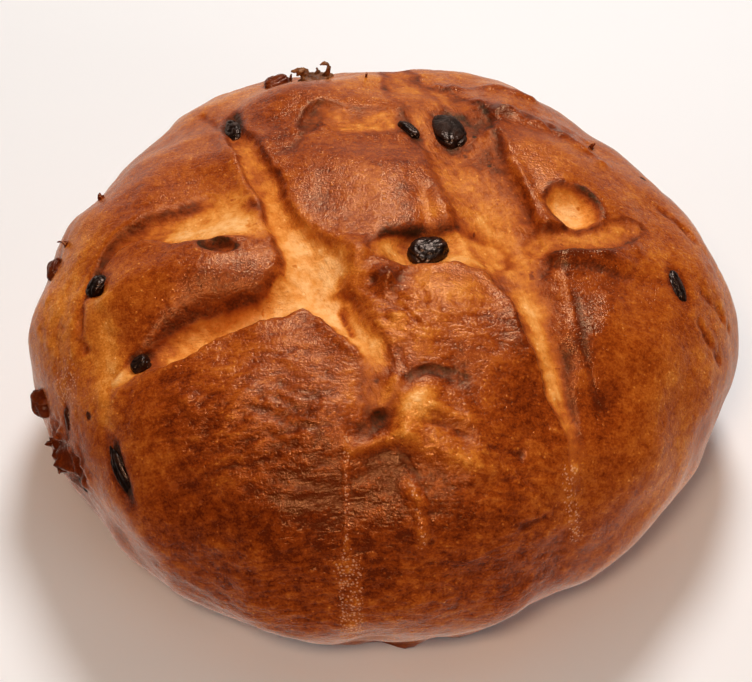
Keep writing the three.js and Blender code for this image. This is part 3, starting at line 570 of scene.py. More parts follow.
def smooth_minimum(a, b):
    overlap = np.maximum(JUNCTION_BLEND - np.abs(a - b), 0) / JUNCTION_BLEND
    return np.minimum(a, b) - 0.25 * JUNCTION_BLEND * overlap ** 2


def ellipse_distance(u, v, cu, cv, along, across, turn):
    c, s = cos_sin(turn)
    x = (u - cu) * c + (v - cv) * s
    y = (v - cv) * c - (u - cu) * s
    return np.hypot(x / along, y / across)


def add_spots(u, v, spots):
    total = np.zeros_like(u)
    for *ellipse, amount in spots:
        total += amount * np.exp(-ellipse_distance(u, v, *ellipse) ** 2)
    return total


def waves(point, wavelength, seed):
    """Sum of plane waves in directions spread evenly over a sphere, about 1 high."""
    total = np.zeros(point.shape[:-1])
    for i in range(WAVE_COUNT):
        rise = 1 - (2 * i + 1) / WAVE_COUNT
        spread = math.sqrt(1 - rise * rise)
        turn = GOLDEN_ANGLE * (i + SEED_TURN_STEP * seed)
        direction = np.array([spread * math.cos(turn), spread * math.sin(turn), rise])
        share = (WAVE_LENGTH_STEP * i + SEED_LENGTH_STEP * seed) % 1
        length = wavelength * (WAVE_SHORTEST + WAVE_RANGE * share)
        cycle = 2 * math.pi * (point @ direction) / length
        total += np.sin(cycle + WAVE_PHASE_STEP * i + SEED_PHASE_STEP * seed)
    return total / math.sqrt(WAVE_COUNT / 2)


class Crust:
    """Relief of the crust at (u, v), and the values that its colour is made from.

    height: over the smooth loaf. opening: from -1 on the crust to 1 on the floor of a gash.
    paleness: of the floor. bake: paleness of the crust, its own browning with painted sheen and shade on
    top.
    wall: how dark a bank is, partly a darker bake and partly painted shade.
    blister: density of blisters. crosswise: 1 in gashes that run across. front: share of wrinkles.
    """

    def __init__(self, u, v):
        self.u = u
        self.v = v
        self.point = smooth_point(u, v)
        self.height = np.zeros_like(u)
        self.cut = np.zeros_like(u)
        self.opening = np.full_like(u, CLOSED)
        self.paleness = np.zeros_like(u)
        self.tone_weight = np.full_like(u, FAINTEST)
        self.wall_bake_and_shade = np.zeros_like(u)
        self.rim = np.zeros_like(u)
        self.crosswise = np.zeros_like(u)
        # Paleness of the crust: its own browning, with painted sheen and shade added by some spots and
        # below
        self.bake = BAKE + add_spots(u, v, BAKE_AND_LIGHT_SPOTS)
        # Paler towards the base: painted sheen along the lower rim
        self.bake += FOOT_SHEEN * smoothstep(self.point[:, 2], *FOOT_SHEEN_HEIGHTS)
        self.blister = add_spots(u, v, BLISTER_SPOTS)
        self.front = np.zeros_like(u)
        self.add_unevenness()
        self.ragged = sum(size * waves(self.point, length, seed) for length, size, seed in RAGGED)
        for gash in GASHES:
            self.add_gash(*gash)
        for hollow in HOLLOWS:
            self.add_hollow(*hollow)
        self.paleness /= self.tone_weight
        self.crosswise /= self.tone_weight
        for strip in STRIPS:
            self.add_strip(*strip)
        for ru, rv, length, width, _, turn, _ in RAISINS:
            self.add_dimple(ru, rv, RAISIN_HOLD * length, RAISIN_HOLD * width, turn)
        # Darker crust along the gashes, partly a darker bake and partly painted shade
        self.bake -= RIM_BAKE_AND_SHADE * self.rim
        fade = smoothstep(CRUST_LENGTH - np.hypot(u, v), 0, FLAT_RIM)
        self.height = (self.height + self.cut) * fade

    def add_unevenness(self):
        for wavelength, size, seed in UNEVENNESS:
            self.height += size * waves(self.point, wavelength, seed)
        self.height += add_spots(self.u, self.v, SWELLS)
        for fold in FOLDS:
            self.add_folds(*fold)
        crag = add_spots(self.u, self.v, CRAGS)
        for wavelength, size, seed in CRAG_WAVES:
            self.height += size * crag * waves(self.point, wavelength, seed)

    def add_folds(self, cu, cv, along, across, turn, height, wavelength, seed):
        share = np.exp(-ellipse_distance(self.u, self.v, cu, cv, along, across, turn) ** 2)
        c, s = cos_sin(turn)
        sway = FOLD_SWAY * waves(self.point, FOLD_SWAY_LENGTH, seed)
        lengthwise = (self.u * c + self.v * s) / FOLD_STRETCH
        sideways = self.v * c - self.u * s + sway
        drawn = np.stack([lengthwise, sideways, FOLD_DRIFT * sway], -1)
        for octave in FOLD_OCTAVES:
            swing = waves(drawn, wavelength / octave, seed + octave)
            self.height += height / octave * share * np.sqrt(swing ** 2 + FOLD_CREST_ROUNDING)
        self.front = np.maximum(self.front, share * up_to(height, FOLD_FULL_HEIGHT))

    def open_up(self, at, opening, tone, crosswise):
        opening = np.maximum(opening, CLOSED)
        self.opening[at] = np.maximum(self.opening[at], opening)
        weight = np.exp(TONE_SHARPNESS * np.minimum(opening, 1))
        self.paleness[at] += weight * tone
        self.crosswise[at] += weight * crosswise
        self.tone_weight[at] += weight

    def add_gash(self, name, left_wall_bake_and_shade, right_wall_bake_and_shade, left_fade, right_fade, _):
        near = Nearest(GASH_PATHS[name], self.u, self.v)
        at = near.index
        half, depth, tone, left_bank, right_bank = near.values.T
        bank = near.by_side(left_bank, right_bank)
        fade = near.by_side(left_fade, right_fade)
        wall_bake_and_shade = near.by_side(left_wall_bake_and_shade, right_wall_bake_and_shade)
        distance = near.distance + self.ragged[at] * up_to(half, RAGGED_HALF)
        beyond = distance - half
        foot = FOOT_ROUNDING * up_to(half, FOOT_HALF)
        climb = (beyond + np.sqrt(beyond ** 2 + foot ** 2)) / 2
        rise = np.clip(climb / bank, 0, 1)
        floor = -depth * (1 - FLOOR_DISH * np.clip(distance / half, 0, 1) ** 2)
        rounding = BANK_ROUNDING + (SOFT_ROUNDING - BANK_ROUNDING) * smoothstep(fade, *SOFT_FADES)
        self.cut[at] = smooth_minimum(self.cut[at], floor * (1 - rise) ** rounding)
        lip = smoothstep(bank, *LIP_BANKS) * up_to(depth, LIP_DEPTH) * up_to(half, LIP_HALF)
        self.height[at] += LIP_HEIGHT * lip * np.exp(-((beyond - bank) / LIP_WIDTH) ** 2)
        drawn_up = np.where(wall_bake_and_shade == 0, SOFT_DOUGH_RISE, DOUGH_RISE)
        browner = FLOOR_EDGE * up_to(half, FLOOR_EDGE_HALF)
        tone = tone - browner * np.clip(distance / half, 0, FLOOR_EDGE_REACH) ** 2
        self.open_up(at, (half + drawn_up * bank - distance) / fade, tone, "cross" in name)
        # Darker crust along the edge, partly a darker bake and partly painted shade where the plate rolls
        # down
        rim = np.exp(-((beyond - RIM_UP_BANK * bank) / RIM_WIDTH) ** 2) * up_to(depth, RIM_DEPTH)
        rim *= smoothstep(fade, *RIM_FADES) * up_to(wall_bake_and_shade, RIM_WALL)
        self.rim[at] = np.maximum(self.rim[at], rim)
        # Painted shade on the steep bank, partly a darker bake as well
        wall_bake_and_shade = wall_bake_and_shade * up_to(depth, WALL_DEPTH)
        wall_bake_and_shade *= smoothstep(beyond, *WALL_FOOT) * smoothstep(rise, *WALL_TOP)
        self.wall_bake_and_shade[at] = np.maximum(self.wall_bake_and_shade[at], wall_bake_and_shade)

    def add_hollow(self, cu, cv, along, across, turn, depth, tone):
        reach = ellipse_distance(self.u, self.v, cu, cv, along, across, turn)
        reach = reach + self.ragged / along
        section = np.clip(HOLLOW_FLAT - reach ** HOLLOW_POWER, 0, 1)
        self.cut = smooth_minimum(self.cut, -depth * section)
        at = np.flatnonzero(reach < HOLLOW_REACH)
        tone = tone - HOLLOW_EDGE * up_to(tone, HOLLOW_PALE) * np.clip(reach[at], 0, 1) ** 2
        self.open_up(at, (HOLLOW_OPEN - reach[at]) / HOLLOW_FADE, tone, True)
        # Painted shade, partly a darker bake, in a band round the rim of the hollow
        wall_bake_and_shade = smoothstep(reach, *HOLLOW_WALL_FOOT) * smoothstep(reach, *HOLLOW_WALL_TOP)
        self.wall_bake_and_shade = np.maximum(self.wall_bake_and_shade, wall_bake_and_shade)

    def add_strip(self, points, half, rise, lumpy, paleness, blister=0):
        near = Nearest(spline_through(points), self.u, self.v)
        at = near.index
        share = np.exp(-((near.distance + STRIP_RAGGED * self.ragged[at]) / half) ** 2)
        lumps = 1 + lumpy * waves(self.point[at], LUMP_LENGTH, LUMP_SEED)
        self.height[at] += rise * share * lumps
        self.bake[at] += paleness * share
        self.paleness[at] += paleness * share
        self.blister[at] += blister * share

    def add_dimple(self, *ellipse):
        reach = ellipse_distance(self.u, self.v, *ellipse)
        self.height -= RAISIN_DIMPLE * np.exp(-reach ** 2)
        # Painted shade in a ring round the raisin
        ring = RAISIN_SHADE_RING * smoothstep(reach, *RAISIN_SHADE_RING_EDGES)
        self.bake -= ring
        self.paleness -= ring


def foot_lip(point):
    """Share of the lip where the crust was squeezed out over the base in front."""
    angle = np.arctan2(point[:, 1], point[:, 0])
    share = np.exp(-((angle - FOOT_LIP_ANGLE) / FOOT_LIP_SPREAD) ** 2)
    share *= 1 + FOOT_LIP_RAGGED * waves(point, FOOT_LIP_LENGTH, FOOT_LIP_SEED)
    return share * (1 - smoothstep(point[:, 2], 0, FOOT_LIP_HEIGHT))


def crust_frame(u, v, turn, depth):
    """Axes and origin on the crust: x along the turn direction, y across it, z out of the loaf."""
    at_u = np.array([float(u)])
    at_v = np.array([float(v)])
    along_u, along_v, out = smooth_axes(at_u, at_v)
    height = Crust(at_u, at_v).height
    c, s = cos_sin(turn)
    x = along_u[0] * c + along_v[0] * s
    y = np.cross(out[0], x)
    origin = smooth_point(at_u, at_v)[0] + out[0] * (height[0] - depth)
    return np.stack([x, y, out[0]]), origin


# Meshes

def new_object(name, data):
    piece = bpy.data.objects.new(name, data)
    bpy.context.scene.collection.objects.link(piece)
    return piece


def new_mesh_object(name, points, faces):
    mesh = bpy.data.meshes.new(name)
    mesh.from_pydata((points * MM).tolist(), [], faces.tolist())
    mesh.shade_smooth()
    mesh.update()
    return new_object(name, mesh)


def set_attribute(piece, name, values):
    kind, field = ("FLOAT", "value") if values.ndim == 1 else ("FLOAT_VECTOR", "vector")
    attribute = piece.data.attributes.new(name, kind, "POINT")
    attribute.data.foreach_set(field, values.astype(np.float32).ravel())


def joined(parts):
    """Points and faces of several meshes in one."""
    points = []
    faces = []
    total = 0
    for part_points, part_faces in parts:
        points.append(part_points)
        faces.append(part_faces + total)
        total += len(part_points)
    return np.concatenate(points), np.concatenate(faces)


def sphere(subdivisions):
    mesh = bmesh.new()
    bmesh.ops.create_icosphere(mesh, subdivisions=subdivisions, radius=1)
    points = np.array([vertex.co[:] for vertex in mesh.verts])
    faces = np.array([[vertex.index for vertex in face.verts] for face in mesh.faces])
    mesh.free()
    return points, faces


TUBE_SIDES = 10
TUBE_RINGS = 14
TUBE_ASIDE = (0.31, 0.87, 0.38)
TUBE_ROUGH = 0.3
TUBE_ROUGH_LENGTH = 1.6


def tube(stations, seed):
    """A rough tapered tube through stations of x, y, z and radius, closed at both ends."""
    path = spline_through(stations)
    steps = np.linspace(0, len(path) - 1, TUBE_RINGS)
    rows = np.stack([np.interp(steps, np.arange(len(path)), path[:, k]) for k in range(4)], -1)
    ahead = unit(np.gradient(rows[:, :3], axis=0))
    side = unit(np.cross(ahead, np.array(TUBE_ASIDE)))
    other = np.cross(ahead, side)
    turn = 2 * math.pi * np.arange(TUBE_SIDES) / TUBE_SIDES
    around = side[:, None] * np.cos(turn)[:, None] + other[:, None] * np.sin(turn)[:, None]
    ring = rows[:, None, :3] + around * rows[:, None, 3:]
    ring = ring.reshape(-1, 3)
    rough = np.repeat(rows[:, 3], TUBE_SIDES) * TUBE_ROUGH * waves(ring, TUBE_ROUGH_LENGTH, seed)
    ring += rough[:, None]
    faces = []
    for k in range(TUBE_RINGS - 1):
        for i in range(TUBE_SIDES):
            a = k * TUBE_SIDES + i
            b = k * TUBE_SIDES + (i + 1) % TUBE_SIDES
            faces.append((a, b, b + TUBE_SIDES))
            faces.append((a, b + TUBE_SIDES, a + TUBE_SIDES))
    first = len(ring)
    last = (TUBE_RINGS - 1) * TUBE_SIDES
    for i in range(TUBE_SIDES):
        following = (i + 1) % TUBE_SIDES
        faces.append((first, following, i))
        faces.append((first + 1, last + i, last + following))
    return np.concatenate([ring, rows[:1, :3], rows[-1:, :3]]), np.array(faces)


# The loaf

def gather_to_edges(u, v):
    """Draws mesh points in towards the steep banks of the gashes, so that those come out crisp."""
    for path in GASH_PATHS.values():
        near = Nearest(path, u, v)
        half, _, _, left_bank, right_bank = near.values.T
        bank = near.by_side(left_bank, right_bank)
        beyond = near.distance - half - np.minimum(GATHER_UP_BANK * bank, GATHER_FURTHEST)
        pull = -GATHER * smoothstep(bank, *GATHER_BANKS) * beyond
        pull *= np.exp(-(beyond / GATHER_REACH) ** 2)
        pull /= np.maximum(near.distance, FAINTEST)
        u[near.index] += near.off[:, 0] * pull
        v[near.index] += near.off[:, 1] * pull
    return u, v


def ring_layout():
    """Distance from the crown, first angle and number of points of every ring down to the base rim."""
    rings = [(0.0, 0.0, 1)]
    along = FINE_STEP
    odd = 0
    while True:
        share = smoothstep(along, FINE_UNTIL, CRUST_LENGTH)
        step = FINE_STEP + (COARSE_STEP - FINE_STEP) * share
        radius = np.interp(along, SECTION_ALONG, SECTION_RADIUS)
        count = max(FEWEST_IN_RING, round(2 * math.pi * radius / step))
        last = CRUST_LENGTH - along < LAST_RING * step
        rings.append((CRUST_LENGTH if last else along, odd * math.pi / count, count))
        if last:
            return rings
        along += RING_SPACING * step
        odd = 1 - odd


def band_faces(upper_start, upper_angles, lower_start, lower_angles):
    """Triangles between two rings, stepping round both in the order of their angles."""
    n = len(upper_angles)
    m = len(lower_angles)
    if n == 1:
        j = np.arange(m)
        return np.stack([np.full(m, upper_start), lower_start + j, lower_start + (j + 1) % m], -1)
    turn = 2 * math.pi
    upper_next = np.append(upper_angles[1:], upper_angles[0] + turn)
    lower_next = np.append(lower_angles[1:], lower_angles[0] + turn)
    order = np.argsort(np.concatenate([upper_next, lower_next]), kind="stable")
    is_upper = order < n
    i = np.cumsum(is_upper) - is_upper
    j = np.cumsum(~is_upper) - ~is_upper
    third = np.where(is_upper, upper_start + (i + 1) % n, lower_start + (j + 1) % m)
    return np.stack([upper_start + i % n, lower_start + j % m, third], -1)


def lay_out_crust():
    """Places u and v of the crust's mesh, its triangles, and the first point and angles of its rim."""
    u = []
    v = []
    faces = []
    total = 0
    for along, first, count in ring_layout():
        angles = first + 2 * math.pi * np.arange(count) / count
        if total:
            faces.append(band_faces(upper_start, upper_angles, total, angles))
        upper_start = total
        upper_angles = angles
        u.append(along * np.cos(angles))
        v.append(along * np.sin(angles))
        total += count
    u, v = gather_to_edges(np.concatenate(u), np.concatenate(v))
    return u, v, np.concatenate(faces), upper_start, upper_angles


def close_base(rim_points, rim_start, rim_angles):
    """Points and triangles of the flat base inside its rim."""
    points = []
    faces = []
    upper_start = rim_start
    upper_angles = rim_angles
    total = rim_start + len(rim_angles)
    for k in range(1, BASE_STEPS):
        share = 1 - k / BASE_STEPS
        count = max(FEWEST_IN_RING, round(len(rim_angles) * share * BASE_DENSITY))
        pick = np.round(np.arange(count) * len(rim_angles) / count).astype(int)
        points.append(rim_points[pick] * share)
        faces.append(band_faces(upper_start, upper_angles, total, rim_angles[pick]))
        upper_start = total
        upper_angles = rim_angles[pick]
        total += count
    points.append(np.zeros((1, 3)))
    n = len(upper_angles)
    i = np.arange(n)
    faces.append(np.stack([upper_start + i, np.full(n, total), upper_start + (i + 1) % n], -1))
    return np.concatenate(points), np.concatenate(faces)


def smoothed(values, faces, rounds):
    """Values averaged with their neighbours' on the mesh, several times over."""
    a = np.concatenate([faces[:, 0], faces[:, 1], faces[:, 2]])
    b = np.concatenate([faces[:, 1], faces[:, 2], faces[:, 0]])
    count = np.bincount(a, minlength=len(values)) + np.bincount(b, minlength=len(values)) + 1
    for _ in range(rounds):
        total = np.bincount(a, values[b], len(values)) + np.bincount(b, values[a], len(values))
        values = (values + total) / count
    return values


def make_fleck(number, u, v, height, hook, radius):
    """A curled-up fleck of crust, rooted just under the surface."""
    stations = [(0, 0, -FLECK_ROOT_DEPTH, FLECK_ROOT_RADIUS * radius)]
    for across, up, thick in FLECK_CURL:
        stations.append((across * hook, 0, up * height, thick * radius))
    points, faces = tube(stations, FLECK_SEED + number)
    axes, origin = crust_frame(u, v, 0, 0)
    return origin + points @ axes, faces


def make_loaf():
    u, v, crust_faces, rim_start, rim_angles = lay_out_crust()
    crust = Crust(u, v)
    points = crust.point + smooth_axes(u, v)[2] * crust.height[:, None]
    lip = foot_lip(points)
    crust.bake -= FOOT_LIP_BAKE * lip
    points += unit(points * np.array([1, 1, 0])) * FOOT_LIP_REACH * lip[:, None]
    points[:, 2] = np.maximum(points[:, 2], 0)
    points[rim_start:, 2] = 0
    base_points, base_faces = close_base(points[rim_start:], rim_start, rim_angles)
    whole = (np.concatenate([points, base_points]), np.concatenate([crust_faces, base_faces]))
    flecks = [make_fleck(number, *fleck) for number, fleck in enumerate(FLECKS)]
    points, faces = joined([whole] + flecks)
    piece = new_mesh_object("loaf_crust", points, faces)
    # How far the crust lies below its smoothed self; in the colour it darkens concave places, painted
    # shade
    cavity = smoothed(crust.height, crust_faces, CAVITY_ROUNDS) - crust.height
    # Attributes of the crust, and their values on the base and the flecks
    attributes = {
        "opening": (crust.opening, CLOSED),
        "paleness": (crust.paleness, 0),
        "bake": (crust.bake, FLECK_BAKE),
        "wall_bake_and_shade": (crust.wall_bake_and_shade, 0),
        "blister": (crust.blister, 0),
        "cavity": (np.clip(cavity, *CAVITY_RANGE), 0),
        "front": (crust.front, 0),
        "crosswise": (crust.crosswise, 0),
        "skin": (np.stack([u, v, 0 * u], -1), 0),
    }
    for name, (values, elsewhere) in attributes.items():
        rest = np.full((len(points) - len(values),) + values.shape[1:], elsewhere, float)
        set_attribute(piece, name, np.concatenate([values, rest]))
    set_attribute(piece, "under", smoothstep(points[:, 2], *UNDER_HEIGHTS))
    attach(piece, "root")
    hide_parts("loaf")
    return piece


# Raisins

RAISIN_SUBDIVISIONS = 5
RAISIN_SQUARENESS = 0.82
RAISIN_DRAWN_OUT = (0.45, 1, 1)
# Relief of a raisin: sizes, and waves of a wavelength and a first seed
RAISIN_LUMP = 0.1
RAISIN_SWAY = 0.12
RAISIN_WRINKLE = 0.11
RAISIN_CRINKLE = 0.03
RAISIN_WAVES = {"lump": (1.7, 40), "sway": (1.3, 60), "wrinkle": (1.2, 0), "crinkle": (0.42, 20)}
# Raisins under a film of baked dough: number, share of the dough's colour
DOUGHY_RAISINS = {9: 0.75, 10: 0.2, 12: 0.5, 13: 0.6}


def make_raisin(number, raisin):
    u, v, length, width, thickness, turn, depth = raisin
    name = f"raisin_{number:02d}"
    ball, faces = sphere(RAISIN_SUBDIVISIONS)
    squared = np.sign(ball) * np.abs(ball) ** RAISIN_SQUARENESS

    def wavy(point, kind):
        wavelength, first_seed = RAISIN_WAVES[kind]
        return waves(point, wavelength, first_seed + number)

    sway = RAISIN_SWAY * wavy(ball, "sway")[:, None]
    drawn_out = ball * np.array(RAISIN_DRAWN_OUT) + sway
    ridge = np.clip(1 - np.abs(wavy(drawn_out, "wrinkle")), 0, 1)
    crinkle = np.clip(1 - np.abs(wavy(ball + sway, "crinkle")), 0, 1)
    dent = 1 + RAISIN_LUMP * wavy(ball, "lump")
    dent = dent - RAISIN_WRINKLE * ridge ** 2 - RAISIN_CRINKLE * crinkle ** 2
    local = squared * dent[:, None] * np.array([length, width, thickness]) / 2
    axes, origin = crust_frame(u, v, turn, depth)
    piece = new_mesh_object(name + "_skin", origin + local @ axes, faces)
    set_attribute(piece, "ridge", ridge)
    set_attribute(piece, "doughy", np.full(len(ball), DOUGHY_RAISINS.get(number, 0.0)))
    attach(piece, "root")
    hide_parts(name)
    return piece


# Shred of candied peel

PEEL_PLACE = (-22, 87)
PEEL_MOUND = (12, 9, 5)
PEEL_SUBDIVISIONS = 4
PEEL_UPRIGHT = 0.5
# Lumps of the mound: wavelength, size, seed
PEEL_LUMPS = [(1.5, 0.16, 71), (0.6, 0.07, 72)]
# Strands from root to tip: x, y, z, radius
PEEL_STRANDS = [
    [(-2, 0, 0.5, 1.7), (-4, 0.4, 2.6, 1.4), (-6.4, 0.2, 3.6, 0.9), (-8.4, 0, 3.4, 0.25)],
    [(2.5, 0, 1, 1.1), (4.2, -0.3, 3.2, 0.8), (4.4, -0.2, 5.2, 0.6), (3.1, 0, 6.4, 0.5),
     (1.6, 0.2, 5.6, 0.25)],
    [(0.2, 0.4, 1, 1.3), (0.6, 0.5, 3, 0.8), (0.2, 0.6, 4.4, 0.2)],
]
PEEL_STRAND_SEED = 73


def make_peel():
    ball, faces = sphere(PEEL_SUBDIVISIONS)
    lump = np.ones(len(ball))
    for wavelength, size, seed in PEEL_LUMPS:
        lump += size * waves(ball, wavelength, seed)
    mound = ball * lump[:, None] * np.array(PEEL_MOUND) / 2
    strands = [tube(strand, PEEL_STRAND_SEED + k) for k, strand in enumerate(PEEL_STRANDS)]
    points, faces = joined([(mound, faces)] + strands)
    axes, origin = crust_frame(*PEEL_PLACE, 0, 0)
    upright = np.eye(3) * PEEL_UPRIGHT + axes * (1 - PEEL_UPRIGHT)
    piece = new_mesh_object("peel_shred_browned", origin + points @ upright, faces)
    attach(piece, "root")
    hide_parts("peel_shred")
    return piece


# Materials

NOISE_ROUGHNESS = 0.55


class Graph:
    """Builds the nodes of a material or of the world."""

    def __init__(self, owner, shader="Principled BSDF"):
        owner.use_nodes = True
        self.owner = owner
        self.tree = owner.node_tree
        self.shader = self.tree.nodes[shader]
        self.places = self.add("ShaderNodeTexCoord").outputs

    def feed(self, socket, value):
        if isinstance(value, bpy.types.NodeSocket):
            self.tree.links.new(value, socket)
        else:
            socket.default_value = value

    def set(self, node=None, **inputs):
        """Feeds the inputs of a node, or of the shader."""
        for key, value in inputs.items():
            self.feed((node or self.shader).inputs[key.replace("_", " ")], value)

    def add(self, kind, settings=None, **inputs):
        node = self.tree.nodes.new(kind)
        for key, value in (settings or {}).items():
            setattr(node, key, value)
        self.set(node, **inputs)
        return node

    def attribute(self, name, output="Fac"):
        return self.add("ShaderNodeAttribute", {"attribute_name": name}).outputs[output]

    def math(self, operation, a, b):
        node = self.add("ShaderNodeMath", {"operation": operation})
        self.feed(node.inputs[0], a)
        self.feed(node.inputs[1], b)
        return node.outputs[0]

    def product(self, a, b):
        return self.math("MULTIPLY", a, b)

    def sum(self, *terms):
        """Sum of the terms; a pair is a value and its factor."""
        total = None
        for term in terms:
            value = self.product(*term) if isinstance(term, tuple) else term
            total = value if total is None else self.math("ADD", total, value)
        return total

    def ramp(self, value, stops):
        node = self.add("ShaderNodeValToRGB", Fac=value)
        elements = node.color_ramp.elements
        while len(elements) < len(stops):
            elements.new(1.0)
        for element, (place, colour) in zip(elements, stops):
            element.position = place
            element.color = (*colour, 1)
        return node.outputs["Color"]

    def range(self, value, low, high, to_low=0.0, to_high=1.0):
        node = self.add("ShaderNodeMapRange", {"interpolation_type": "SMOOTHSTEP"}, Value=value)
        self.set(node, From_Min=low, From_Max=high, To_Min=to_low, To_Max=to_high)
        return node.outputs["Result"]

    def noise(self, scale, detail, roughness=NOISE_ROUGHNESS, vector=None):
        """Noise about zero."""
        node = self.add("ShaderNodeTexNoise", Scale=scale, Detail=detail, Roughness=roughness)
        self.set(node, Vector=vector or self.places["Object"])
        return self.math("SUBTRACT", node.outputs["Fac"], 0.5)

    def drawn_noise(self, vector, along_u, along_v, detail, roughness):
        """Noise of a different scale along u and along v."""
        node = self.add("ShaderNodeVectorMath", {"operation": "MULTIPLY"})
        self.feed(node.inputs[0], vector)
        self.feed(node.inputs[1], (along_u, along_v, 1))
        return self.noise(1, detail, roughness, node.outputs["Vector"])

    def cells(self, scale, channel):
        """Distance from the middle of the nearest cell, and a number drawn for that cell."""
        node = self.add("ShaderNodeTexVoronoi", Scale=scale, Randomness=1.0, Vector=self.places["Object"])
        colour = self.add("ShaderNodeSeparateColor", Color=node.outputs["Color"])
        return node.outputs["Distance"], colour.outputs[channel]

    def mix(self, share, a, b):
        node = self.add("ShaderNodeMix", {"data_type": "FLOAT"}, Factor=share, A=a, B=b)
        return node.outputs["Result"]

    def mix_colour(self, share, a, b):
        node = self.add("ShaderNodeMix", {"data_type": "RGBA"}, Factor=share)
        self.feed(node.inputs[6], a)
        self.feed(node.inputs[7], b)
        return node.outputs[2]

    def bump(self, height):
        """Bump whose height is in millimetres."""
        return self.add("ShaderNodeBump", Strength=1.0, Distance=MM, Height=height).outputs["Normal"]


def new_material(name):
    return Graph(bpy.data.materials.new(name))


# Colours of baked dough, from burnt to barely baked
BAKED_COLOURS = [
    (0.0, (0.028, 0.006, 0.002)),
    (0.15, (0.13, 0.016, 0.002)),
    (0.3, (0.27, 0.042, 0.004)),
    (0.45, (0.42, 0.092, 0.009)),
    (0.6, (0.60, 0.182, 0.02)),
    (0.75, (0.76, 0.305, 0.062)),
    (1.0, (0.93, 0.53, 0.21)),
]
# Pinkish cream of the foamy blisters, partly their own colour and partly painted glints
BLISTER_AND_GLINT_COLOUR = (0.72, 0.36, 0.2, 1)
BLISTER_TINT = 0.6
SHEEN_TINT = (1.0, 0.56, 0.26, 1)
SHEEN = 0.5

# Noises of the crust: scale, detail, and roughness where it isn't the usual one
CRUST_NOISES = {
    "broad": (30, 3),
    "middle": (110, 4, 0.6),
    "fine": (420, 3),
    "grain": (1400, 2, 0.6),
    "edge": (150, 1),
}
PIT_NOISE = (210, 2)
PIT_RANGE = (0.17, 0.25)

# Noises drawn out over the crust: scale along u, scale along v, detail, roughness
CREASE_NOISE = (0.13, 0.3, 3, NOISE_ROUGHNESS)
CRINKLE_NOISE = (0.3, 0.8, 2, 0.5)
ACROSS_NOISE = (0.06, 0.17, 4, 0.6)
LENGTHWISE_NOISE = (0.045, 0.2, 4, 0.6)
LONG_GASH_TURN = math.radians(68)
CRINKLE_ANYWHERE = 0.35
CRINKLE_IN_FRONT = 0.65

# Pale dots and foamy blisters: scale of the cells, their size, and how many there are. Their paleness is
# partly the blisters' own and partly painted glints.
DOT_SCALE = 620.0
DOT_SIZE = (0.34, 0.12)
DOT_CHANCE = (0.8, 0.88)
DOT_WALLS = (0.25, 0.0)
FOAM_SCALE = 1050.0
FOAM_SIZE = (0.48, 0.2)
FOAM_CHANCE = (0.45, 0.55)

# How much each layer adds
EDGE_RAGGED = {"edge": 0.7, "fine": 0.3}
DOT_SHARES = {"blister": 0.25, "broad": 0.6}
FOAM_SHARES = {"luck": -0.5, "fine": 0.5}
# In the crust's tone, cavity darkens concave places, which is painted shade. The noises that also raise
# its bumps and folds (fine, grain, creased and crinkled) make their hollows darker and their crests
# paler, painted shade and light on top of the crust's own mottling.
CRUST_TONES = {
    "broad": 0.42, "middle": 0.36, "fine": 0.4, "grain": 0.4,
    "creased": 0.75, "crinkled": 0.3, "cavity": -0.09,
}
FLOOR_TONES = {"streak": 0.55, "fine": 0.45, "middle": 0.72, "broad": 0.2, "pits": -0.3}
# Dots and foam are paler, partly as blisters and partly as painted glints; dark banks are painted shade
SURFACE_TONES = {"pale_dot_and_glint": 0.18, "foam_and_glint": 0.1, "wall_bake_and_shade": -0.2}
UNDER_TONES = {"middle": 0.3, "fine": 0.2}
UNDER_TONE = 0.3
DARKEST_CRUST = 0.12
CRUST_RELIEF = {"fine": 0.2, "grain": 0.26, "creased": 1.4, "crinkled": 0.42, "pale_dot_and_glint": 0.1, "foam_and_glint": 0.12}
FLOOR_RELIEF = {"streak": 1.1, "middle": 1.1, "fine": 0.5, "grain": 0.22}
CRUST_ROUGHNESS = 0.18
CRUST_ROUGHNESS_SHARES = {"fine": 0.2}
FLOOR_ROUGHNESS = 0.48
SURFACE_ROUGHNESS_SHARES = {"wall_bake_and_shade": 0.4, "sunken": 0.35}
UNDER_ROUGHNESS = 0.8


def crust_layers(g):
    """Noises and attributes of the crust by name."""
    layers = {name: g.noise(*noise) for name, noise in CRUST_NOISES.items()}
    for name in ["wall_bake_and_shade", "cavity", "front", "blister", "crosswise", "under"]:
        layers[name] = g.attribute(name)
    layers["sunken"] = g.math("MAXIMUM", layers["cavity"], 0.0)
    layers["pits"] = g.range(g.noise(*PIT_NOISE), *PIT_RANGE)
    skin = g.attribute("skin", "Vector")
    turn = g.add("ShaderNodeVectorRotate", {"rotation_type": "Z_AXIS"}, Vector=skin, Angle=LONG_GASH_TURN)
    lengthwise = g.drawn_noise(turn.outputs["Vector"], *LENGTHWISE_NOISE)
    layers["streak"] = g.mix(layers["crosswise"], lengthwise, g.drawn_noise(skin, *ACROSS_NOISE))
    layers["creased"] = g.product(g.drawn_noise(skin, *CREASE_NOISE), layers["front"])
    crinkle_share = g.sum(CRINKLE_ANYWHERE, (layers["front"], CRINKLE_IN_FRONT))
    layers["crinkled"] = g.product(g.drawn_noise(skin, *CRINKLE_NOISE), crinkle_share)
    return layers


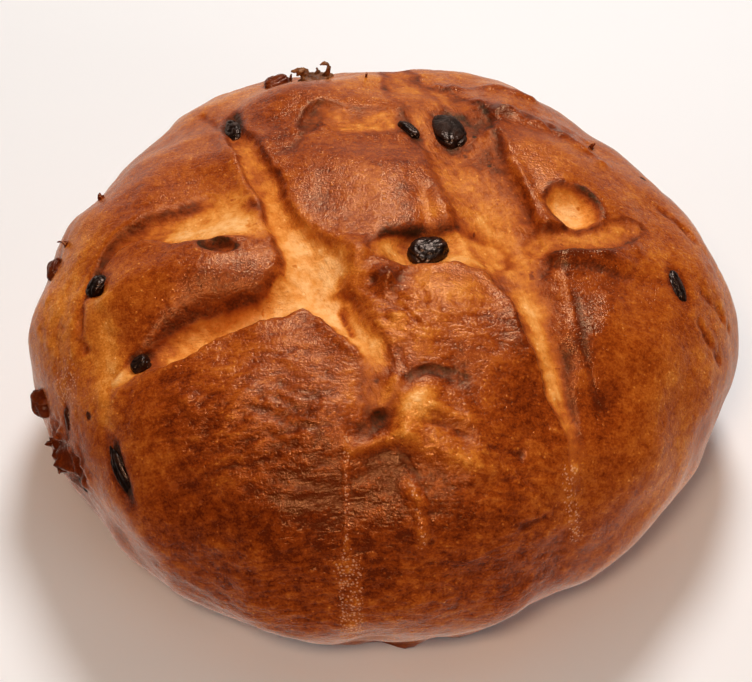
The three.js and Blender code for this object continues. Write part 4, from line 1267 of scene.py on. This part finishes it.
def crust_material():
    g = new_material("crust")
    layers = crust_layers(g)

    def blend(shares, *start):
        return g.sum(*start, *[(layers[name], share) for name, share in shares.items()])

    distance, chance = g.cells(DOT_SCALE, "Red")
    pale_dot_and_glint = g.product(g.range(distance, *DOT_SIZE), g.range(blend(DOT_SHARES, chance), *DOT_CHANCE))
    layers["pale_dot_and_glint"] = g.product(pale_dot_and_glint, g.range(layers["wall_bake_and_shade"], *DOT_WALLS))
    distance, layers["luck"] = g.cells(FOAM_SCALE, "Green")
    risen = g.range(blend(FOAM_SHARES, layers["blister"]), *FOAM_CHANCE)
    layers["foam_and_glint"] = g.product(g.range(distance, *FOAM_SIZE), risen)
    opening = g.range(blend(EDGE_RAGGED, g.attribute("opening")), *OPENING_RANGE)
    crust = g.math("MAXIMUM", blend(CRUST_TONES, g.attribute("bake")), DARKEST_CRUST)
    floor = blend(FLOOR_TONES, g.attribute("paleness"))
    tone = blend(SURFACE_TONES, g.mix(opening, crust, floor))
    tone = g.mix(layers["under"], tone, blend(UNDER_TONES, UNDER_TONE))
    blistered = g.product(layers["foam_and_glint"], BLISTER_TINT)
    g.set(Base_Color=g.mix_colour(blistered, g.ramp(tone, BAKED_COLOURS), BLISTER_AND_GLINT_COLOUR))
    rough = g.mix(opening, blend(CRUST_ROUGHNESS_SHARES, CRUST_ROUGHNESS), FLOOR_ROUGHNESS)
    rough = blend(SURFACE_ROUGHNESS_SHARES, rough)
    g.set(Roughness=g.mix(layers["under"], rough, UNDER_ROUGHNESS))
    g.set(Specular_IOR_Level=SHEEN, Specular_Tint=SHEEN_TINT)
    g.set(Normal=g.bump(g.mix(opening, blend(CRUST_RELIEF), blend(FLOOR_RELIEF))))
    return g.owner


RAISIN_COLOURS = [(0.3, (0.005, 0.002, 0.0015)), (0.7, (0.03, 0.01, 0.005))]
RAISIN_TONE = 0.5
# Darker along the grooves of the wrinkles, which is painted shade
RAISIN_GROOVE_SHADE = -0.25
RAISIN_MOTTLE = (300, 4)
RAISIN_DOUGH_TONE = 0.22
RAISIN_DOUGH_MOTTLE = 0.6
RAISIN_ROUGHNESS = 0.27
RAISIN_SHEEN = 0.35
RAISIN_SHEEN_TINT = (1.0, 0.72, 0.58, 1)
RAISIN_RELIEF_NOISE = (900, 3)
RAISIN_RELIEF = 0.25


def raisin_material():
    g = new_material("raisin")
    mottle = g.noise(*RAISIN_MOTTLE)
    bare = g.sum(RAISIN_TONE, mottle, (g.attribute("ridge"), RAISIN_GROOVE_SHADE))
    dough = g.sum(RAISIN_DOUGH_TONE, (mottle, RAISIN_DOUGH_MOTTLE))
    colours = (g.ramp(bare, RAISIN_COLOURS), g.ramp(dough, BAKED_COLOURS))
    g.set(Base_Color=g.mix_colour(g.attribute("doughy"), *colours), Roughness=RAISIN_ROUGHNESS)
    g.set(Specular_IOR_Level=RAISIN_SHEEN, Specular_Tint=RAISIN_SHEEN_TINT)
    g.set(Normal=g.bump(g.product(g.noise(*RAISIN_RELIEF_NOISE), RAISIN_RELIEF)))
    return g.owner


PEEL_COLOURS = [(0.3, (0.05, 0.014, 0.004)), (0.55, (0.2, 0.065, 0.015)), (0.8, (0.42, 0.19, 0.06))]
PEEL_TONE = 0.5
# Noises of the peel's colour: scale, detail, how much they add
PEEL_TONES = [(260, 4, 0.9), (900, 2, 0.3)]
PEEL_RELIEF_NOISE = (700, 3)
PEEL_RELIEF = 0.5
PEEL_ROUGHNESS = 0.5
PEEL_SHEEN = 0.3


def peel_material():
    g = new_material("peel")
    tones = [(g.noise(scale, detail), share) for scale, detail, share in PEEL_TONES]
    g.set(Base_Color=g.ramp(g.sum(PEEL_TONE, *tones), PEEL_COLOURS))
    g.set(Roughness=PEEL_ROUGHNESS, Specular_IOR_Level=PEEL_SHEEN)
    g.set(Normal=g.bump(g.product(g.noise(*PEEL_RELIEF_NOISE), PEEL_RELIEF)))
    return g.owner


# Stage, camera and light

CAMERA_ELEVATION = 49
CAMERA_DISTANCE = 700
CAMERA_LENS = 103.1
CAMERA_AIM = (-0.98, -0.42, 41.57)
STAGE_SIZE = 6
STAGE_COLOUR = (0.86, 0.86, 0.86, 1)
STAGE_ROUGHNESS = 0.9


def make_camera():
    camera = new_object("camera", bpy.data.cameras.new("camera"))
    rise = math.radians(CAMERA_ELEVATION)
    back = Vector((0, -math.cos(rise), math.sin(rise)))
    camera.location = (Vector(CAMERA_AIM) + back * CAMERA_DISTANCE) * MM
    camera.rotation_euler = back.to_track_quat("Z", "Y").to_euler()
    camera.data.lens = CAMERA_LENS
    bpy.context.scene.camera = camera


def make_floor():
    mesh = bmesh.new()
    bmesh.ops.create_grid(mesh, x_segments=1, y_segments=1, size=STAGE_SIZE)
    data = bpy.data.meshes.new("floor")
    mesh.to_mesh(data)
    mesh.free()
    floor = new_object("floor", data)
    g = new_material("floor")
    g.set(Base_Color=STAGE_COLOUR, Roughness=STAGE_ROUGHNESS)
    data.materials.append(g.owner)
    floor.visible_glossy = False


WHITE = (1, 1, 1)
WARM = (1, 0.7, 0.5)
# Lights: name, place and size in metres, power, colour, whether it lights and whether it shows in gloss
LIGHTS = [
    ("key", (0.08, 0.55, 0.95), 0.3, 8.8, WHITE, True, True),
    ("overhead", (0, 0.1, 1.3), 1.0, 1.5, WHITE, True, True),
    ("front", (-0.15, -0.6, 1.0), 0.25, 4.2, WARM, True, True),
    ("card_left", (-0.95, -0.25, 0.4), 0.7, 1.2, WHITE, True, False),
    ("card_right", (0.75, -0.7, 0.3), 0.7, 3.4, WHITE, True, False),
    ("glint", (-0.1, -0.62, 0.95), 0.16, 4.4, WARM, False, True),
]
LIGHT_AIM = (0, 0, 0.05)
# The room, and its brighter part low behind the loaf
ROOM_LIGHT = 0.03
RIM_LIGHT = 0.8
RIM_LIGHT_EDGES = (0.3, 1.2)
ROOM_COLOUR = (1, 0.76, 0.64, 1)


def make_area_light(name, place, size, power, colour, diffuse, glossy):
    light = bpy.data.lights.new(name, "AREA")
    light.color = colour
    light.shape = "DISK"
    light.size = size
    light.energy = power
    piece = new_object(name, light)
    piece.location = place
    direction = Vector(LIGHT_AIM) - Vector(place)
    piece.rotation_euler = direction.to_track_quat("-Z", "Y").to_euler()
    piece.visible_diffuse = diffuse
    piece.visible_glossy = glossy


def make_room():
    g = Graph(bpy.data.worlds.new("studio"), "Background")
    direction = g.add("ShaderNodeSeparateXYZ", Vector=g.places["Generated"]).outputs
    low_behind = g.math("SUBTRACT", direction["Y"], direction["Z"])
    g.set(Color=ROOM_COLOUR, Strength=g.range(low_behind, *RIM_LIGHT_EDGES, ROOM_LIGHT, RIM_LIGHT))
    bpy.context.scene.world = g.owner
    bpy.context.scene.view_settings.view_transform = "Standard"


make_camera()
make_loaf().data.materials.append(crust_material())
raisin_skin = raisin_material()
for number, raisin in enumerate(RAISINS, 1):
    make_raisin(number, raisin).data.materials.append(raisin_skin)
make_peel().data.materials.append(peel_material())
make_floor()
for light in LIGHTS:
    make_area_light(*light)
make_room()
